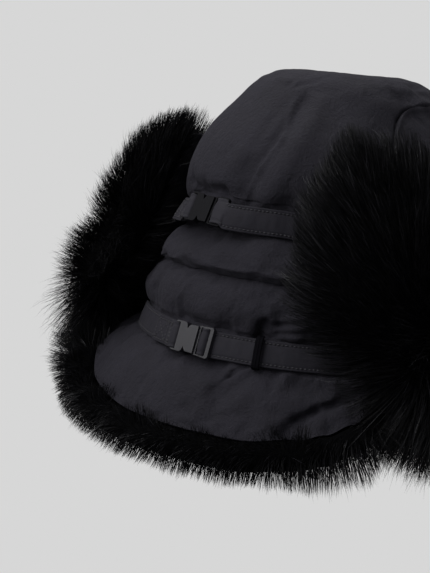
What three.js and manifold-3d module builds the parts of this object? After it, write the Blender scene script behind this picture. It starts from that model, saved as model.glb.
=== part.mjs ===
// A bomber hat: a padded nylon crown, a padded neck flap, two ear flaps and a brow flap turned up with
// their fur outward, a fur trim round the neck flap, and two back straps with side-release buckles.
// Millimetres, Z up, front toward -Y, the wearer's right toward -X. The origin is the centre of the head
// opening, level with the seam between the crown and the flaps.
import * as THREE from 'three';
import { mergeVertices } from 'three/addons/utils/BufferGeometryUtils.js';
import Module from 'manifold-3d';

const wasm = await Module();
wasm.setup();

// Driving dimensions. The crown's oval is its outline where it is fullest, and stand-off is measured
// outward from it. Angles are degrees from the centre back toward the wearer's right.
const OVAL = { halfWidth: 99, halfLength: 113, meanRadius: 106 };
const GAP = 0.8;
const STRAP = { width: 18.4, thickness: 1.6, clearance: 0.7 };
const UPPER_STRAP = {
  height: 39, standOff: -3.3, tabStart: -60, end: 60, buckle: 3, start: 8.5, lift: 1.7, turn: 6,
};
const LOWER_STRAP = {
  height: -45.5, standOff: 23.5, tabStart: -31, end: 58, buckle: 11.5, start: 8.5, lift: 1.9, turn: 0,
};
const LOWER_STRAP_SLOPE = 5.5 / 18;
// Places along a buckle from its middle, and its own sizes
const BUCKLE = { back: -18.8, body: -14.6, mouth: 1, front: 13.2, corner: 1.3 };
const BUCKLE_SIZE = { width: 21.4, socketDepth: 6, plugDepth: 3 };
const BUCKLE_BAR = { back: 2.2, relief: 2 };
const BUCKLE_SLOT = { halfSpan: 9.4, corner: 0.7 };
const BUCKLE_CAVITY = { reach: 9, width: 16.8, height: 3.8 };
// One side of each half's outline: the socket's notch, and the plug's shoulder, prong and centre guide
const SOCKET_SIDE = [
  { along: -17.6, across: 10.4 },
  { along: -10, across: 10.4 },
  { along: -8.8, across: 9.3 },
  { along: -7.8, across: 6.2 },
  { along: -6.8, across: 7.9 },
  { along: -5.4, across: 9.4 },
  { along: 1, across: 9.4 },
];
const PLUG_SIDE = [
  { along: 11.9, across: 10.7 },
  { along: 1.3, across: 10.1 },
  { along: 1.3, across: 7.9 },
  { along: -3, across: 7.9 },
  { along: -4.2, across: 8 },
  { along: -7, across: 6.4 },
  { along: -7, across: 5.2 },
  { along: 1.3, across: 5.7 },
  { along: 1.3, across: 1.3 },
  { along: -7.5, across: 1 },
];
const PLUG_SLOTS = [
  { from: 2.6, to: 4.8 },
  { from: 8.2, to: 10.4 },
];
const KEEPER = { angle: 32, halfAngle: 1.3, thickness: 1.2, gap: 0.5, overhang: 1.5, lift: 1.8, bow: 16 };
const NECK_SPAN = 63;
const NECK_EDGE = 97;
const NECK_BEND = 55;
const SEAM_REACH = 0.35;
const LEFT_SWAY = { degrees: 8, share: 0.6, width: 0.07 };
const CURL = { depth: 20, share: 0.35, start: -35, full: 10, outside: 0.3 };
const SIDE_PANEL = { angle: 108, halfSpan: 50, top: 0.8, roundness: 4.4 };
const ARCH_CUT = { foot: -0.02, footDrop: 3, overshoot: 0.5, seamShare: 0.004, seamDegrees: 0.4 };
const POLE = { from: -106, to: -80 };
const FOLD_INSIDE = 0.4;
const LINING_PILE = { top: 4, hem: 14 };
const EDGE_SHARE = { nylon: 0.5, fur: 0.35 };
const NYLON = new THREE.Color(0x26252b);
const FUR = new THREE.Color(0x08080a);
const PLASTIC = new THREE.Color(0x2b2b30);

// Crown section from the seam up to the middle of the top, outside and inside
const CROWN_SECTION = [
  { height: 0, standOff: 12.5, innerHeight: 0, innerStandOff: -12 },
  { height: 4, standOff: 15.5, innerHeight: 5, innerStandOff: -12.5 },
  { height: 10, standOff: 16.5, innerHeight: 10, innerStandOff: -13 },
  { height: 18, standOff: 13.5, innerHeight: 18, innerStandOff: -14 },
  { height: 25, standOff: 5, innerHeight: 26, innerStandOff: -15 },
  { height: 28.5, standOff: -3.2, innerHeight: 31, innerStandOff: -15.5 },
  { height: 39, standOff: -5, innerHeight: 39, innerStandOff: -16 },
  { height: 49.5, standOff: -3.6, innerHeight: 47, innerStandOff: -15 },
  { height: 53, standOff: -1.5, innerHeight: 54, innerStandOff: -14 },
  { height: 62, standOff: -1, innerHeight: 62, innerStandOff: -13 },
  { height: 76, standOff: -4.5, innerHeight: 74, innerStandOff: -16 },
  { height: 91, standOff: -12, innerHeight: 87, innerStandOff: -23 },
  { height: 104.5, standOff: -22.5, innerHeight: 99, innerStandOff: -33 },
  { height: 116, standOff: -33, innerHeight: 109, innerStandOff: -44 },
  { height: 127, standOff: -42.5, innerHeight: 118, innerStandOff: -53.5 },
  { height: 135, standOff: -52, innerHeight: 125, innerStandOff: -63 },
  { height: 140, standOff: -68, innerHeight: 129, innerStandOff: -77 },
  { height: 141.5, standOff: -106, innerHeight: 130.5, innerStandOff: -106 },
];

// How far the seam and the upper strap sit above or below their level heights round the hat, how far the
// upper strap stands off the crown, and how much its lower edge leans out over the roll
const LEVELS = [
  { angle: -180, seam: 0, strap: -3, out: 0, lean: 0.1 },
  { angle: -70, seam: -5, strap: -8, out: 1, lean: 0.2 },
  { angle: -40, seam: -6, strap: -9, out: 4.5, lean: 0.45 },
  { angle: -18, seam: -1.5, strap: -2.5, out: 6.5, lean: 0.6 },
  { angle: 0, seam: 0, strap: 1, out: 6, lean: 0.5 },
  { angle: 25, seam: 0, strap: 0, out: 0.6, lean: 0.1 },
  { angle: 60, seam: 0, strap: -3, out: 0, lean: 0 },
  { angle: 180, seam: 0, strap: -3, out: 0, lean: 0 },
];

// Neck flap section from the seam down to its hem
const NECK_SECTION = [
  { height: -0.8, standOff: 11.5, thickness: 4 },
  { height: -4, standOff: 15.5, thickness: 7 },
  { height: -11, standOff: 20, thickness: 9 },
  { height: -22, standOff: 24, thickness: 9.5 },
  { height: -32, standOff: 23.5, thickness: 9 },
  { height: -36.5, standOff: 20.5, thickness: 7 },
  { height: -45.5, standOff: 22.9, thickness: 7 },
  { height: -54.5, standOff: 26, thickness: 7 },
  { height: -59, standOff: 31.5, thickness: 8.5 },
  { height: -71, standOff: 41.5, thickness: 9.5 },
  { height: -84, standOff: 50, thickness: 9 },
  { height: -93, standOff: 56, thickness: 7 },
  { height: -97, standOff: 58.5, thickness: 3 },
];

// How low the neck flap's hem hangs round the hat, and how full its fur is there
const NECK_HEM = [
  { angle: -63, drop: 66, roll: 1.1 },
  { angle: -55, drop: 73, roll: 1.35 },
  { angle: -42, drop: 80, roll: 1.4 },
  { angle: -25, drop: 93, roll: 1.1 },
  { angle: 0, drop: 97, roll: 1 },
  { angle: 32, drop: 97, roll: 1 },
  { angle: 46, drop: 92, roll: 1 },
  { angle: 52, drop: 87, roll: 1 },
  { angle: 58, drop: 79, roll: 1 },
  { angle: 63, drop: 67, roll: 1 },
];

// The fur roll round the hem, measured out and up from the hem itself
const HEM_ROLL = [
  { out: -3.4, up: -2.8 },
  { out: 0.5, up: -2.2 },
  { out: 9, up: 1 },
  { out: 18, up: -3 },
  { out: 22, up: -11 },
  { out: 19, up: -20 },
  { out: 8, up: -25 },
  { out: -6, up: -23 },
  { out: -17, up: -12 },
];

// Ear flap section: down from the seam, round the fold and up outside, with the angles between which
// the nylon and the fur lie at each place. The first row has no fur and the last no nylon.
const EAR_SECTION = [
  { standOff: 4, height: -2.2, thickness: 4, back: 63.6, front: 124, pile: 4, furBack: 63.6, furFront: 124 },
  { standOff: 13, height: -16, thickness: 7, back: 63.6, front: 124, pile: 9, furBack: 63.6, furFront: 124 },
  { standOff: 25, height: -38, thickness: 8, back: 63.6, front: 124, pile: 12, furBack: 63.6, furFront: 125 },
  { standOff: 37, height: -58, thickness: 8, back: 63.8, front: 124, pile: 18, furBack: 63.8, furFront: 126 },
  { standOff: 47, height: -65, thickness: 8, back: 65, front: 124, pile: 26, furBack: 65, furFront: 127 },
  { standOff: 56, height: -57, thickness: 8, back: 64, front: 124, pile: 31, furBack: 62.5, furFront: 129 },
  { standOff: 55, height: -40, thickness: 8, back: 58, front: 124, pile: 34, furBack: 52, furFront: 130 },
  { standOff: 48, height: -8, thickness: 8, back: 47, front: 124, pile: 34, furBack: 39.5, furFront: 130 },
  { standOff: 39, height: 28, thickness: 8, back: 44, front: 123, pile: 33, furBack: 37.5, furFront: 129 },
  { standOff: 29, height: 62, thickness: 7, back: 45, front: 119, pile: 29, furBack: 38.5, furFront: 125 },
  { standOff: 21, height: 84, thickness: 3, back: 50, front: 111, pile: 23, furBack: 43, furFront: 117 },
  { standOff: 17, height: 97, thickness: 3, back: 55, front: 106, pile: 9, furBack: 50, furFront: 109 },
];

// Depth of the ear flap's fold and height of its top edge, as shares of the section above
const EAR_REACH = [
  { angle: 36, fold: 1, top: 0.98 },
  { angle: 55, fold: 1, top: 1.03 },
  { angle: 72, fold: 1, top: 1 },
  { angle: 88, fold: 0.92, top: 0.93 },
  { angle: 105, fold: 0.72, top: 0.82 },
  { angle: 130, fold: 0.4, top: 0.66 },
];

// Brow flap section, turned up straight from the seam
const BROW_SECTION = [
  { standOff: 6, height: -1.9, thickness: 4, back: 126, front: 234, pile: 4, furBack: 127, furFront: 233 },
  { standOff: 14, height: -12, thickness: 7, back: 128, front: 232, pile: 14, furBack: 130, furFront: 230 },
  { standOff: 24, height: -10, thickness: 7, back: 131, front: 229, pile: 22, furBack: 132, furFront: 228 },
  { standOff: 29, height: 4, thickness: 7, back: 133, front: 227, pile: 25, furBack: 132.5, furFront: 227.5 },
  { standOff: 27, height: 24, thickness: 7, back: 135, front: 225, pile: 25, furBack: 132.5, furFront: 227.5 },
  { standOff: 22, height: 44, thickness: 6, back: 139, front: 221, pile: 21, furBack: 135, furFront: 225 },
  { standOff: 18, height: 58, thickness: 3, back: 146, front: 214, pile: 15, furBack: 141, furFront: 219 },
  { standOff: 15, height: 67, thickness: 3, back: 152, front: 208, pile: 6, furBack: 148, furFront: 212 },
];

// The main folds and dents: straight valleys from one place to another, ridges where the depth is negative
const FOLDS = [
  { angle: 28, height: 118, toAngle: 16, toHeight: 56, width: 7, depth: 3.5 },
  { angle: 38, height: 114, toAngle: 27, toHeight: 58, width: 9, depth: -2.5 },
  { angle: -22, height: 58, toAngle: -8, toHeight: 56, width: 5, depth: 2.5 },
  { angle: -22, height: 20, toAngle: 6, toHeight: 24, width: 5, depth: 7 },
  { angle: -20, height: 50, toAngle: 4, toHeight: 54, width: 4, depth: 4 },
  { angle: 75, height: 136, toAngle: 20, toHeight: 142, width: 7, depth: 2.5 },
  { angle: 98, height: 127, toAngle: 175, toHeight: 126, width: 16, depth: -4 },
  { angle: -98, height: 127, toAngle: -175, toHeight: 126, width: 16, depth: -4 },
  { angle: 78, height: 128, toAngle: 175, toHeight: 126, width: 20, depth: -3.5 },
  { angle: -78, height: 128, toAngle: -175, toHeight: 126, width: 20, depth: -3.5 },
  { angle: 35, height: -31, toAngle: 37, toHeight: -27, width: 6, depth: 4 },
  { angle: 2, height: -33, toAngle: 21, toHeight: -33, width: 3, depth: 3 },
  { angle: 2, height: -58, toAngle: 21, toHeight: -58, width: 4, depth: 4.5 },
  { angle: 33, height: -58, toAngle: 37, toHeight: -58, width: 4, depth: 4 },
  { angle: 31, height: -62, toAngle: 24, toHeight: -76, width: 6, depth: 3 },
  { angle: 44, height: -92, toAngle: 57, toHeight: -75, width: 6, depth: 3 },
  { angle: 45, height: -62, toAngle: 50, toHeight: -66, width: 5, depth: 2.5 },
];

// Smooth value of one column of a table that is sorted by angle
function tableAt(table, column, angle) {
  const next = table.findIndex((row) => row.angle >= angle);
  if (next <= 0) return table[next === 0 ? 0 : table.length - 1][column];
  const [low, high] = [table[next - 1], table[next]];
  const share = THREE.MathUtils.smoothstep(angle, low.angle, high.angle);
  return THREE.MathUtils.lerp(low[column], high[column], share);
}

// Plain linear value of one column at a share of the way down a table
function columnAt(table, column, share) {
  const place = THREE.MathUtils.clamp(share, 0, 1) * (table.length - 1);
  const low = Math.min(Math.floor(place), table.length - 2);
  return THREE.MathUtils.lerp(table[low][column], table[low + 1][column], place - low);
}

// Inside its own oval the crown shrinks toward the middle, and outside it grows by an even stand-off
function ovalPoint(angle, standOff, height) {
  const turn = THREE.MathUtils.degToRad(angle);
  const shrink = 1 + Math.min(standOff, 0) / OVAL.meanRadius;
  const outward = Math.max(standOff, 0);
  const x = OVAL.halfWidth * shrink + outward;
  const y = OVAL.halfLength * shrink + outward;
  return new THREE.Vector3(-x * Math.sin(turn), y * Math.cos(turn), height);
}

// Depth of the folds at a place: each is a bell-shaped trough about its own line
function foldDepth(angle, height) {
  const millimetresPerDegree = THREE.MathUtils.degToRad(OVAL.meanRadius);
  let depth = 0;
  for (const fold of FOLDS) {
    const from = new THREE.Vector2(fold.angle * millimetresPerDegree, fold.height);
    const along = new THREE.Vector2(fold.toAngle * millimetresPerDegree, fold.toHeight).sub(from);
    const here = new THREE.Vector2(angle * millimetresPerDegree, height).sub(from);
    const share = THREE.MathUtils.clamp(here.dot(along) / along.lengthSq(), 0, 1);
    const away = here.addScaledVector(along, -share).length() / fold.width;
    depth += fold.depth * Math.exp(-away * away);
  }
  return depth;
}

// The seam and the strap wander up and down, and the crown between and above them follows
function levelShift(angle, height) {
  const strap = tableAt(LEVELS, 'strap', angle);
  const seam = tableAt(LEVELS, 'seam', angle);
  if (height < 0) return seam * THREE.MathUtils.smoothstep(height, -UPPER_STRAP.height, 0);
  if (height < UPPER_STRAP.height) return THREE.MathUtils.lerp(seam, strap, height / UPPER_STRAP.height);
  return strap * (1 - THREE.MathUtils.smoothstep(height, UPPER_STRAP.height, 100));
}

// Angles past 180 are the same places as those before -180
const signedAngle = (angle) => (angle > 180 ? angle - 360 : angle);

const section = (table, across, up) =>
  new THREE.SplineCurve(table.map((row) => new THREE.Vector2(row[across], row[up])));
const CROWN_OUTSIDE = section(CROWN_SECTION, 'standOff', 'height');
const CROWN_INSIDE = section(CROWN_SECTION, 'innerStandOff', 'innerHeight');
const NECK_OUTSIDE = section(NECK_SECTION, 'standOff', 'height');

// A point of the crown's outside or inside, whose folds fade out toward the middle of the top
function crownPoint(curve, angle, share) {
  const place = curve.getPoint(share);
  const turn = signedAngle(angle);
  const fade = THREE.MathUtils.smoothstep(place.x, POLE.from, POLE.to);
  const fold = curve === CROWN_OUTSIDE ? foldDepth(turn, place.y) * fade : 0;
  const height = place.y + levelShift(turn, place.y);
  return ovalPoint(angle, place.x - fold, height);
}

// A point of the neck flap, sunk under its outer face by a depth along the section's own normal
function neckSection(angle, share, depth) {
  const place = NECK_OUTSIDE.getPoint(share);
  const along = NECK_OUTSIDE.getTangent(share);
  const fold = foldDepth(angle, place.y) * (depth === 0 ? 1 : FOLD_INSIDE);
  const standOff = place.x + along.y * depth - fold;
  let height = place.y - along.x * depth;
  const reach = (tableAt(NECK_HEM, 'drop', angle) - NECK_BEND) / (NECK_EDGE - NECK_BEND);
  if (height < -NECK_BEND) height = -NECK_BEND + (height + NECK_BEND) * reach;
  return new THREE.Vector2(standOff, height + levelShift(angle, height));
}

// Joins rings or rows of points into one closed body and drops what has shrunk to nothing
function closedGeometry(points, index) {
  const loose = new THREE.BufferGeometry();
  loose.setAttribute('position', new THREE.Float32BufferAttribute(points.flatMap((p) => p.toArray()), 3));
  loose.setIndex(index);
  const merged = mergeVertices(loose, 1e-3);
  const corners = merged.index.array;
  const kept = [];
  let volume = 0;
  const [a, b, c] = [new THREE.Vector3(), new THREE.Vector3(), new THREE.Vector3()];
  for (let i = 0; i < corners.length; i += 3) {
    const [p, q, r] = [corners[i], corners[i + 1], corners[i + 2]];
    if (p === q || q === r || r === p) continue;
    kept.push(p, q, r);
    a.fromBufferAttribute(merged.attributes.position, p);
    b.fromBufferAttribute(merged.attributes.position, q);
    c.fromBufferAttribute(merged.attributes.position, r);
    volume += a.dot(b.cross(c));
  }
  merged.setIndex(volume < 0 ? kept.reverse() : kept);
  return merged;
}

// A wall between an outer and an inner sheet, both functions of u and v from 0 to 1
function wallSolid(outerAt, innerAt, columns, rows, round = false) {
  const points = [];
  for (const sheet of [outerAt, innerAt]) {
    for (let j = 0; j <= rows; j++) {
      for (let i = 0; i <= columns; i++) points.push(sheet((round ? i % columns : i) / columns, j / rows));
    }
  }
  const index = [];
  const at = (side, i, j) => (side * (rows + 1) + j) * (columns + 1) + i;
  const quad = (a, b, c, d) => index.push(a, b, c, a, c, d);
  for (let i = 0; i < columns; i++) {
    for (let j = 0; j < rows; j++) {
      quad(at(0, i, j), at(0, i + 1, j), at(0, i + 1, j + 1), at(0, i, j + 1));
      quad(at(1, i, j), at(1, i, j + 1), at(1, i + 1, j + 1), at(1, i + 1, j));
    }
    quad(at(0, i + 1, 0), at(0, i, 0), at(1, i, 0), at(1, i + 1, 0));
    quad(at(0, i, rows), at(0, i + 1, rows), at(1, i + 1, rows), at(1, i, rows));
  }
  for (let j = 0; j < rows && !round; j++) {
    quad(at(0, 0, j), at(0, 0, j + 1), at(1, 0, j + 1), at(1, 0, j));
    quad(at(0, columns, j + 1), at(0, columns, j), at(1, columns, j), at(1, columns, j + 1));
  }
  return closedGeometry(points, index);
}

// A closed section outline carried round the hat from one angle to another, with flat ends
function sweptSolid(sectionAt, from, to, steps) {
  const points = [];
  const index = [];
  const count = sectionAt(from).length;
  for (let i = 0; i <= steps; i++) {
    const angle = THREE.MathUtils.lerp(from, to, i / steps);
    points.push(...sectionAt(angle).map((p) => ovalPoint(angle, p.x, p.y)));
    for (let j = 0; j < count && i < steps; j++) {
      const [a, b] = [i * count + j, i * count + ((j + 1) % count)];
      index.push(a, b, b + count, a, b + count, a + count);
    }
  }
  const last = steps * count;
  const clockwise = THREE.ShapeUtils.isClockWise(sectionAt(from));
  for (const [start, angle, flip] of [[0, from, !clockwise], [last, to, clockwise]]) {
    for (const [a, b, c] of THREE.ShapeUtils.triangulateShape(sectionAt(angle), [])) {
      index.push(start + a, start + (flip ? c : b), start + (flip ? b : c));
    }
  }
  return closedGeometry(points, index);
}

function toManifold(geometry) {
  const bare = geometry.clone();
  bare.deleteAttribute('normal');
  bare.deleteAttribute('uv');
  const merged = mergeVertices(bare, 1e-4);
  return new wasm.Manifold(new wasm.Mesh({
    numProp: 3,
    vertProperties: new Float32Array(merged.attributes.position.array),
    triVerts: new Uint32Array(merged.index.array),
  }));
}

function fromManifold(solid) {
  const mesh = solid.getMesh();
  const geometry = new THREE.BufferGeometry();
  geometry.setAttribute('position', new THREE.BufferAttribute(mesh.vertProperties, 3));
  geometry.setIndex(new THREE.BufferAttribute(mesh.triVerts, 1));
  return geometry;
}

// The arched region of a side panel, deeper than the wall and grown sideways and upward by a share of a
// seam's width
function archRegion(side, spare) {
  const { foot, footDrop, overshoot, seamShare, seamDegrees } = ARCH_CUT;
  const pointAt = (u, v, depth) => {
    const across = -Math.cos(Math.PI * u);
    const arch = 1 - Math.abs(across) ** SIDE_PANEL.roundness;
    const share = foot + (SIDE_PANEL.top * arch + spare * seamShare - foot) * v;
    const halfSpan = SIDE_PANEL.halfSpan + spare * seamDegrees;
    const angle = side * (SIDE_PANEL.angle + across * halfSpan);
    const outside = crownPoint(CROWN_OUTSIDE, angle, Math.max(share, 0));
    const inside = crownPoint(CROWN_INSIDE, angle, Math.max(share, 0));
    const point = outside.lerp(inside, depth);
    return share < 0 ? point.setZ(point.z - footDrop) : point;
  };
  const face = (depth) => (u, v) => pointAt(u, v, depth);
  return toManifold(wallSolid(face(-overshoot), face(1 + overshoot), 16, 9));
}

// Crown: a hollow shell cut along its two arched seams into a centre panel and two side panels
function crownPanels() {
  const face = (curve) => (u, v) => crownPoint(curve, 360 * u - 180, v);
  const shell = toManifold(wallSolid(face(CROWN_OUTSIDE), face(CROWN_INSIDE), 36, 17, true));
  return {
    crown_centre_panel: fromManifold(shell.subtract(archRegion(1, 1)).subtract(archRegion(-1, 1))),
    crown_side_panel_right: fromManifold(shell.intersect(archRegion(1, 0))),
    crown_side_panel_left: fromManifold(shell.intersect(archRegion(-1, 0))),
  };
}

// Neck flap: a padded skirt from the seam to its hem
function neckFlap() {
  const angleAt = (u) => (2 * u - 1) * NECK_SPAN;
  const face = (sunk) => (u, v) => {
    const depth = sunk ? columnAt(NECK_SECTION, 'thickness', v) : 0;
    const place = neckSection(angleAt(u), v, depth);
    return ovalPoint(angleAt(u), place.x, place.y);
  };
  return wallSolid(face(false), face(true), 24, NECK_SECTION.length - 1);
}

// The fur behind the neck flap, which rolls out round its hem
function neckTrimSection(angle) {
  const rows = NECK_SECTION.length - 1;
  const shares = Array.from({ length: rows - 1 }, (_, row) => (row + 1) / rows);
  const behind = (share, pile) => {
    const depth = columnAt(NECK_SECTION, 'thickness', share) + GAP + pile;
    return neckSection(angle, share, depth);
  };
  const hem = neckSection(angle, 1, 0);
  const full = tableAt(NECK_HEM, 'roll', angle);
  const roll = HEM_ROLL.map((row) => new THREE.Vector2(hem.x + row.out * full, hem.y + row.up * full));
  const pile = (share) => THREE.MathUtils.lerp(LINING_PILE.top, LINING_PILE.hem, share);
  const everyOther = shares.filter((_, row) => row % 2 === 0).reverse();
  const lining = everyOther.map((share) => behind(share, pile(share)));
  return [...shares.map((share) => behind(share, 0)), ...roll, ...lining];
}

// A turned-up flap: a padded sheet along its section, and the fur on the sheet's outward side
function turnedFlap(table, reachTable, side) {
  const line = section(table, 'standOff', 'height');
  const place = (share, angle, offset, curl) => {
    const point = line.getPoint(share);
    const along = line.getTangent(share);
    const rise = THREE.MathUtils.smoothstep(point.y, CURL.start, CURL.full) * (share > 0.5 ? 1 : 0);
    const standOff = point.x + along.y * offset - curl * rise * (reachTable ? CURL.depth : 0);
    const height = point.y - along.x * offset;
    const seam = tableAt(LEVELS, 'seam', signedAngle(side * angle)) * Math.max(0, 1 - share / SEAM_REACH);
    if (!reachTable) return new THREE.Vector2(standOff, height + seam);
    const reach = tableAt(reachTable, height < 0 ? 'fold' : 'top', angle);
    return new THREE.Vector2(standOff, height * reach + seam);
  };
  const taper = (u, least) => Math.max(least, (1 - Math.abs(2 * u - 1) ** 5) ** 0.5);
  const sheet = (back, front, first, last, offsetAt, curled = 1) => (u, v) => {
    const share = THREE.MathUtils.lerp(first, last, v);
    const [from, to] = [columnAt(table, back, share), columnAt(table, front, share)];
    const bell = Math.exp(-(((share - LEFT_SWAY.share) / LEFT_SWAY.width) ** 2));
    const sway = side < 0 && reachTable ? LEFT_SWAY.degrees * bell * (1 - u) : 0;
    const angle = THREE.MathUtils.lerp(from, to, u) - sway;
    const curl = curled * (1 - THREE.MathUtils.smoothstep(u, 0, CURL.share));
    const point = place(share, angle, offsetAt(u, share), curl);
    return ovalPoint(side * angle, point.x, point.y);
  };
  const rows = table.length - 1;
  const half = (u, share) => (columnAt(table, 'thickness', share) / 2) * taper(u, EDGE_SHARE.nylon);
  const pile = (u, share) => columnAt(table, 'pile', share) * taper(u, EDGE_SHARE.fur);
  const nylonEnd = (rows - 1) / rows;
  const furStart = 1 / rows;
  const nylon = wallSolid(
    sheet('back', 'front', 0, nylonEnd, (u, share) => half(u, share)),
    sheet('back', 'front', 0, nylonEnd, (u, share) => -half(u, share)),
    12, rows - 1,
  );
  const backing = (share) => columnAt(table, 'thickness', share) / 2 + GAP;
  const fur = wallSolid(
    sheet('furBack', 'furFront', furStart, 1, (u, share) => backing(share) + pile(u, share), CURL.outside),
    sheet('furBack', 'furFront', furStart, 1, (u, share) => backing(share)),
    12, rows - 1,
  );
  return [nylon, fur];
}

// How a strap lies at an angle: the lower one follows the flap's slope, the upper one leans over the roll
function strapLie(strap, angle) {
  if (strap === LOWER_STRAP) return { standOff: strap.standOff, lean: LOWER_STRAP_SLOPE };
  return { standOff: strap.standOff + tableAt(LEVELS, 'out', angle), lean: tableAt(LEVELS, 'lean', angle) };
}

// A strap laid round the hat on its own line, between two angles
function strapBand(strap, from, to, steps) {
  const face = (extra) => (u, v) => {
    const angle = THREE.MathUtils.lerp(from, to, u);
    const across = (0.5 - v) * STRAP.width;
    const { standOff, lean } = strapLie(strap, angle);
    const height = strap.height + across + levelShift(angle, strap.height);
    return ovalPoint(angle, standOff - lean * across + STRAP.clearance + extra, height);
  };
  return wallSolid(face(STRAP.thickness), face(0), steps, 2);
}

// Rounded rectangle used for buckle outlines and their slots
function roundedBox(x0, y0, x1, y1, radius, kind = THREE.Shape) {
  const shape = new kind();
  shape.moveTo(x0 + radius, y0);
  shape.lineTo(x1 - radius, y0);
  shape.absarc(x1 - radius, y0 + radius, radius, -Math.PI / 2, 0);
  shape.lineTo(x1, y1 - radius);
  shape.absarc(x1 - radius, y1 - radius, radius, 0, Math.PI / 2);
  shape.lineTo(x0 + radius, y1);
  shape.absarc(x0 + radius, y1 - radius, radius, Math.PI / 2, Math.PI);
  shape.lineTo(x0, y0 + radius);
  shape.absarc(x0 + radius, y0 + radius, radius, Math.PI, Math.PI * 1.5);
  return shape;
}

// A buckle half's outline from one of its sides, mirrored for the other
function mirroredShape(side, end) {
  const points = [end, ...side].map((row) => new THREE.Vector2(row.along, row.across));
  const mirrored = points.map((point) => new THREE.Vector2(point.x, -point.y)).reverse();
  return new THREE.Shape([...points, ...mirrored]);
}

function slotIn(shape, from, to) {
  const { halfSpan, corner } = BUCKLE_SLOT;
  shape.holes.push(roundedBox(from, -halfSpan, to, halfSpan, corner, THREE.Path));
}

// Socket half of the buckle: a flat box, open at its mouth, notched at both sides where the prongs show,
// with a thin bar at its back for the tab to fold round
function buckleSocket() {
  const { back, body, mouth, corner } = BUCKLE;
  const depth = BUCKLE_SIZE.socketDepth;
  const shape = mirroredShape(SOCKET_SIDE, { along: back, across: SOCKET_SIDE[0].across - corner });
  slotIn(shape, back + BUCKLE_BAR.back, body);
  const block = new THREE.ExtrudeGeometry(shape, { depth, bevelEnabled: false, curveSegments: 2 });
  const { reach, width, height } = BUCKLE_CAVITY;
  const cavity = new THREE.BoxGeometry(2 * (mouth + reach), width, height);
  cavity.translate(mouth, 0, depth / 2);
  let socket = toManifold(block).subtract(toManifold(cavity));
  const [long, wide, high] = [body - back, BUCKLE_SLOT.halfSpan, BUCKLE_BAR.relief].map((half) => 2 * half);
  for (const z of [0, depth]) {
    const relief = new THREE.BoxGeometry(long, wide, high);
    relief.translate(back, 0, z);
    socket = socket.subtract(toManifold(relief));
  }
  return fromManifold(socket);
}

// Plug half of the buckle: a slotted frame with a middle bar, two sprung prongs and a centre guide
function bucklePlug() {
  const { width, socketDepth, plugDepth: depth } = BUCKLE_SIZE;
  const shape = mirroredShape(PLUG_SIDE, { along: BUCKLE.front, across: width / 2 - BUCKLE.corner });
  for (const { from, to } of PLUG_SLOTS) slotIn(shape, from, to);
  const frame = new THREE.ExtrudeGeometry(shape, { depth, bevelEnabled: false, curveSegments: 2 });
  frame.translate(0, 0, (socketDepth - depth) / 2);
  return fromManifold(toManifold(frame));
}

// Stands a buckle on its strap's line: its own X runs along the strap, its Z faces out
function buckleGroup(strap, name) {
  const angle = strap.buckle;
  const height = strap.height + levelShift(angle, strap.height);
  const { standOff, lean } = strapLie(strap, angle);
  const centre = ovalPoint(angle, standOff + strap.lift, height);
  const along = ovalPoint(angle + 1, standOff, height).sub(ovalPoint(angle - 1, standOff, height));
  along.normalize().applyAxisAngle(new THREE.Vector3(0, 0, 1), THREE.MathUtils.degToRad(strap.turn));
  const level = new THREE.Vector3(along.y, -along.x, 0);
  const outward = level.multiplyScalar(Math.sign(level.dot(centre))).add(new THREE.Vector3(0, 0, lean));
  outward.normalize();
  const across = new THREE.Vector3().crossVectors(outward, along);
  const group = new THREE.Group();
  group.quaternion.setFromRotationMatrix(new THREE.Matrix4().makeBasis(along, across, outward));
  group.position.copy(centre);
  group.add(
    plasticMesh(`${name}_buckle_socket`, buckleSocket()),
    plasticMesh(`${name}_buckle_plug`, bucklePlug()),
  );
  return group;
}

// The keeper is a short fabric loop that arches over the lower strap
function strapKeeper() {
  const clear = STRAP.clearance + STRAP.thickness + KEEPER.gap;
  const face = (extra) => (u, v) => {
    const angle = KEEPER.angle + (1 - 2 * u) * KEEPER.halfAngle;
    const across = (0.5 - v) * (STRAP.width + 2 * (KEEPER.overhang + extra));
    const bow = 1 - Math.abs(2 * v - 1) ** KEEPER.bow;
    const base = LOWER_STRAP.standOff + KEEPER.lift - LOWER_STRAP_SLOPE * across;
    return ovalPoint(angle, base + (clear + extra) * bow, LOWER_STRAP.height + across);
  };
  return wallSolid(face(KEEPER.thickness), face(0), 1, 10);
}

function namedMesh(name, geometry, color, roughness) {
  const mesh = new THREE.Mesh(geometry, new THREE.MeshStandardMaterial({ color, roughness, metalness: 0 }));
  mesh.name = name;
  return mesh;
}
const nylonMesh = (name, geometry) => namedMesh(name, geometry, NYLON, 0.55);
const furMesh = (name, geometry) => namedMesh(name, geometry, FUR, 0.8);
const plasticMesh = (name, geometry) => namedMesh(name, geometry, PLASTIC, 0.35);

const hat = new THREE.Group();
for (const [name, geometry] of Object.entries(crownPanels())) hat.add(nylonMesh(name, geometry));
hat.add(nylonMesh('neck_flap', neckFlap()));
hat.add(furMesh('fur_neck_trim', sweptSolid(neckTrimSection, -NECK_SPAN, NECK_SPAN, 24)));
for (const [name, side] of [['right', 1], ['left', -1]]) {
  const [flap, fur] = turnedFlap(EAR_SECTION, EAR_REACH, side);
  hat.add(nylonMesh(`ear_flap_${name}`, flap), furMesh(`fur_ear_${name}`, fur));
}
const [browFlap, browFur] = turnedFlap(BROW_SECTION, null, 1);
hat.add(nylonMesh('brow_flap', browFlap), furMesh('fur_brow', browFur));

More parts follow.
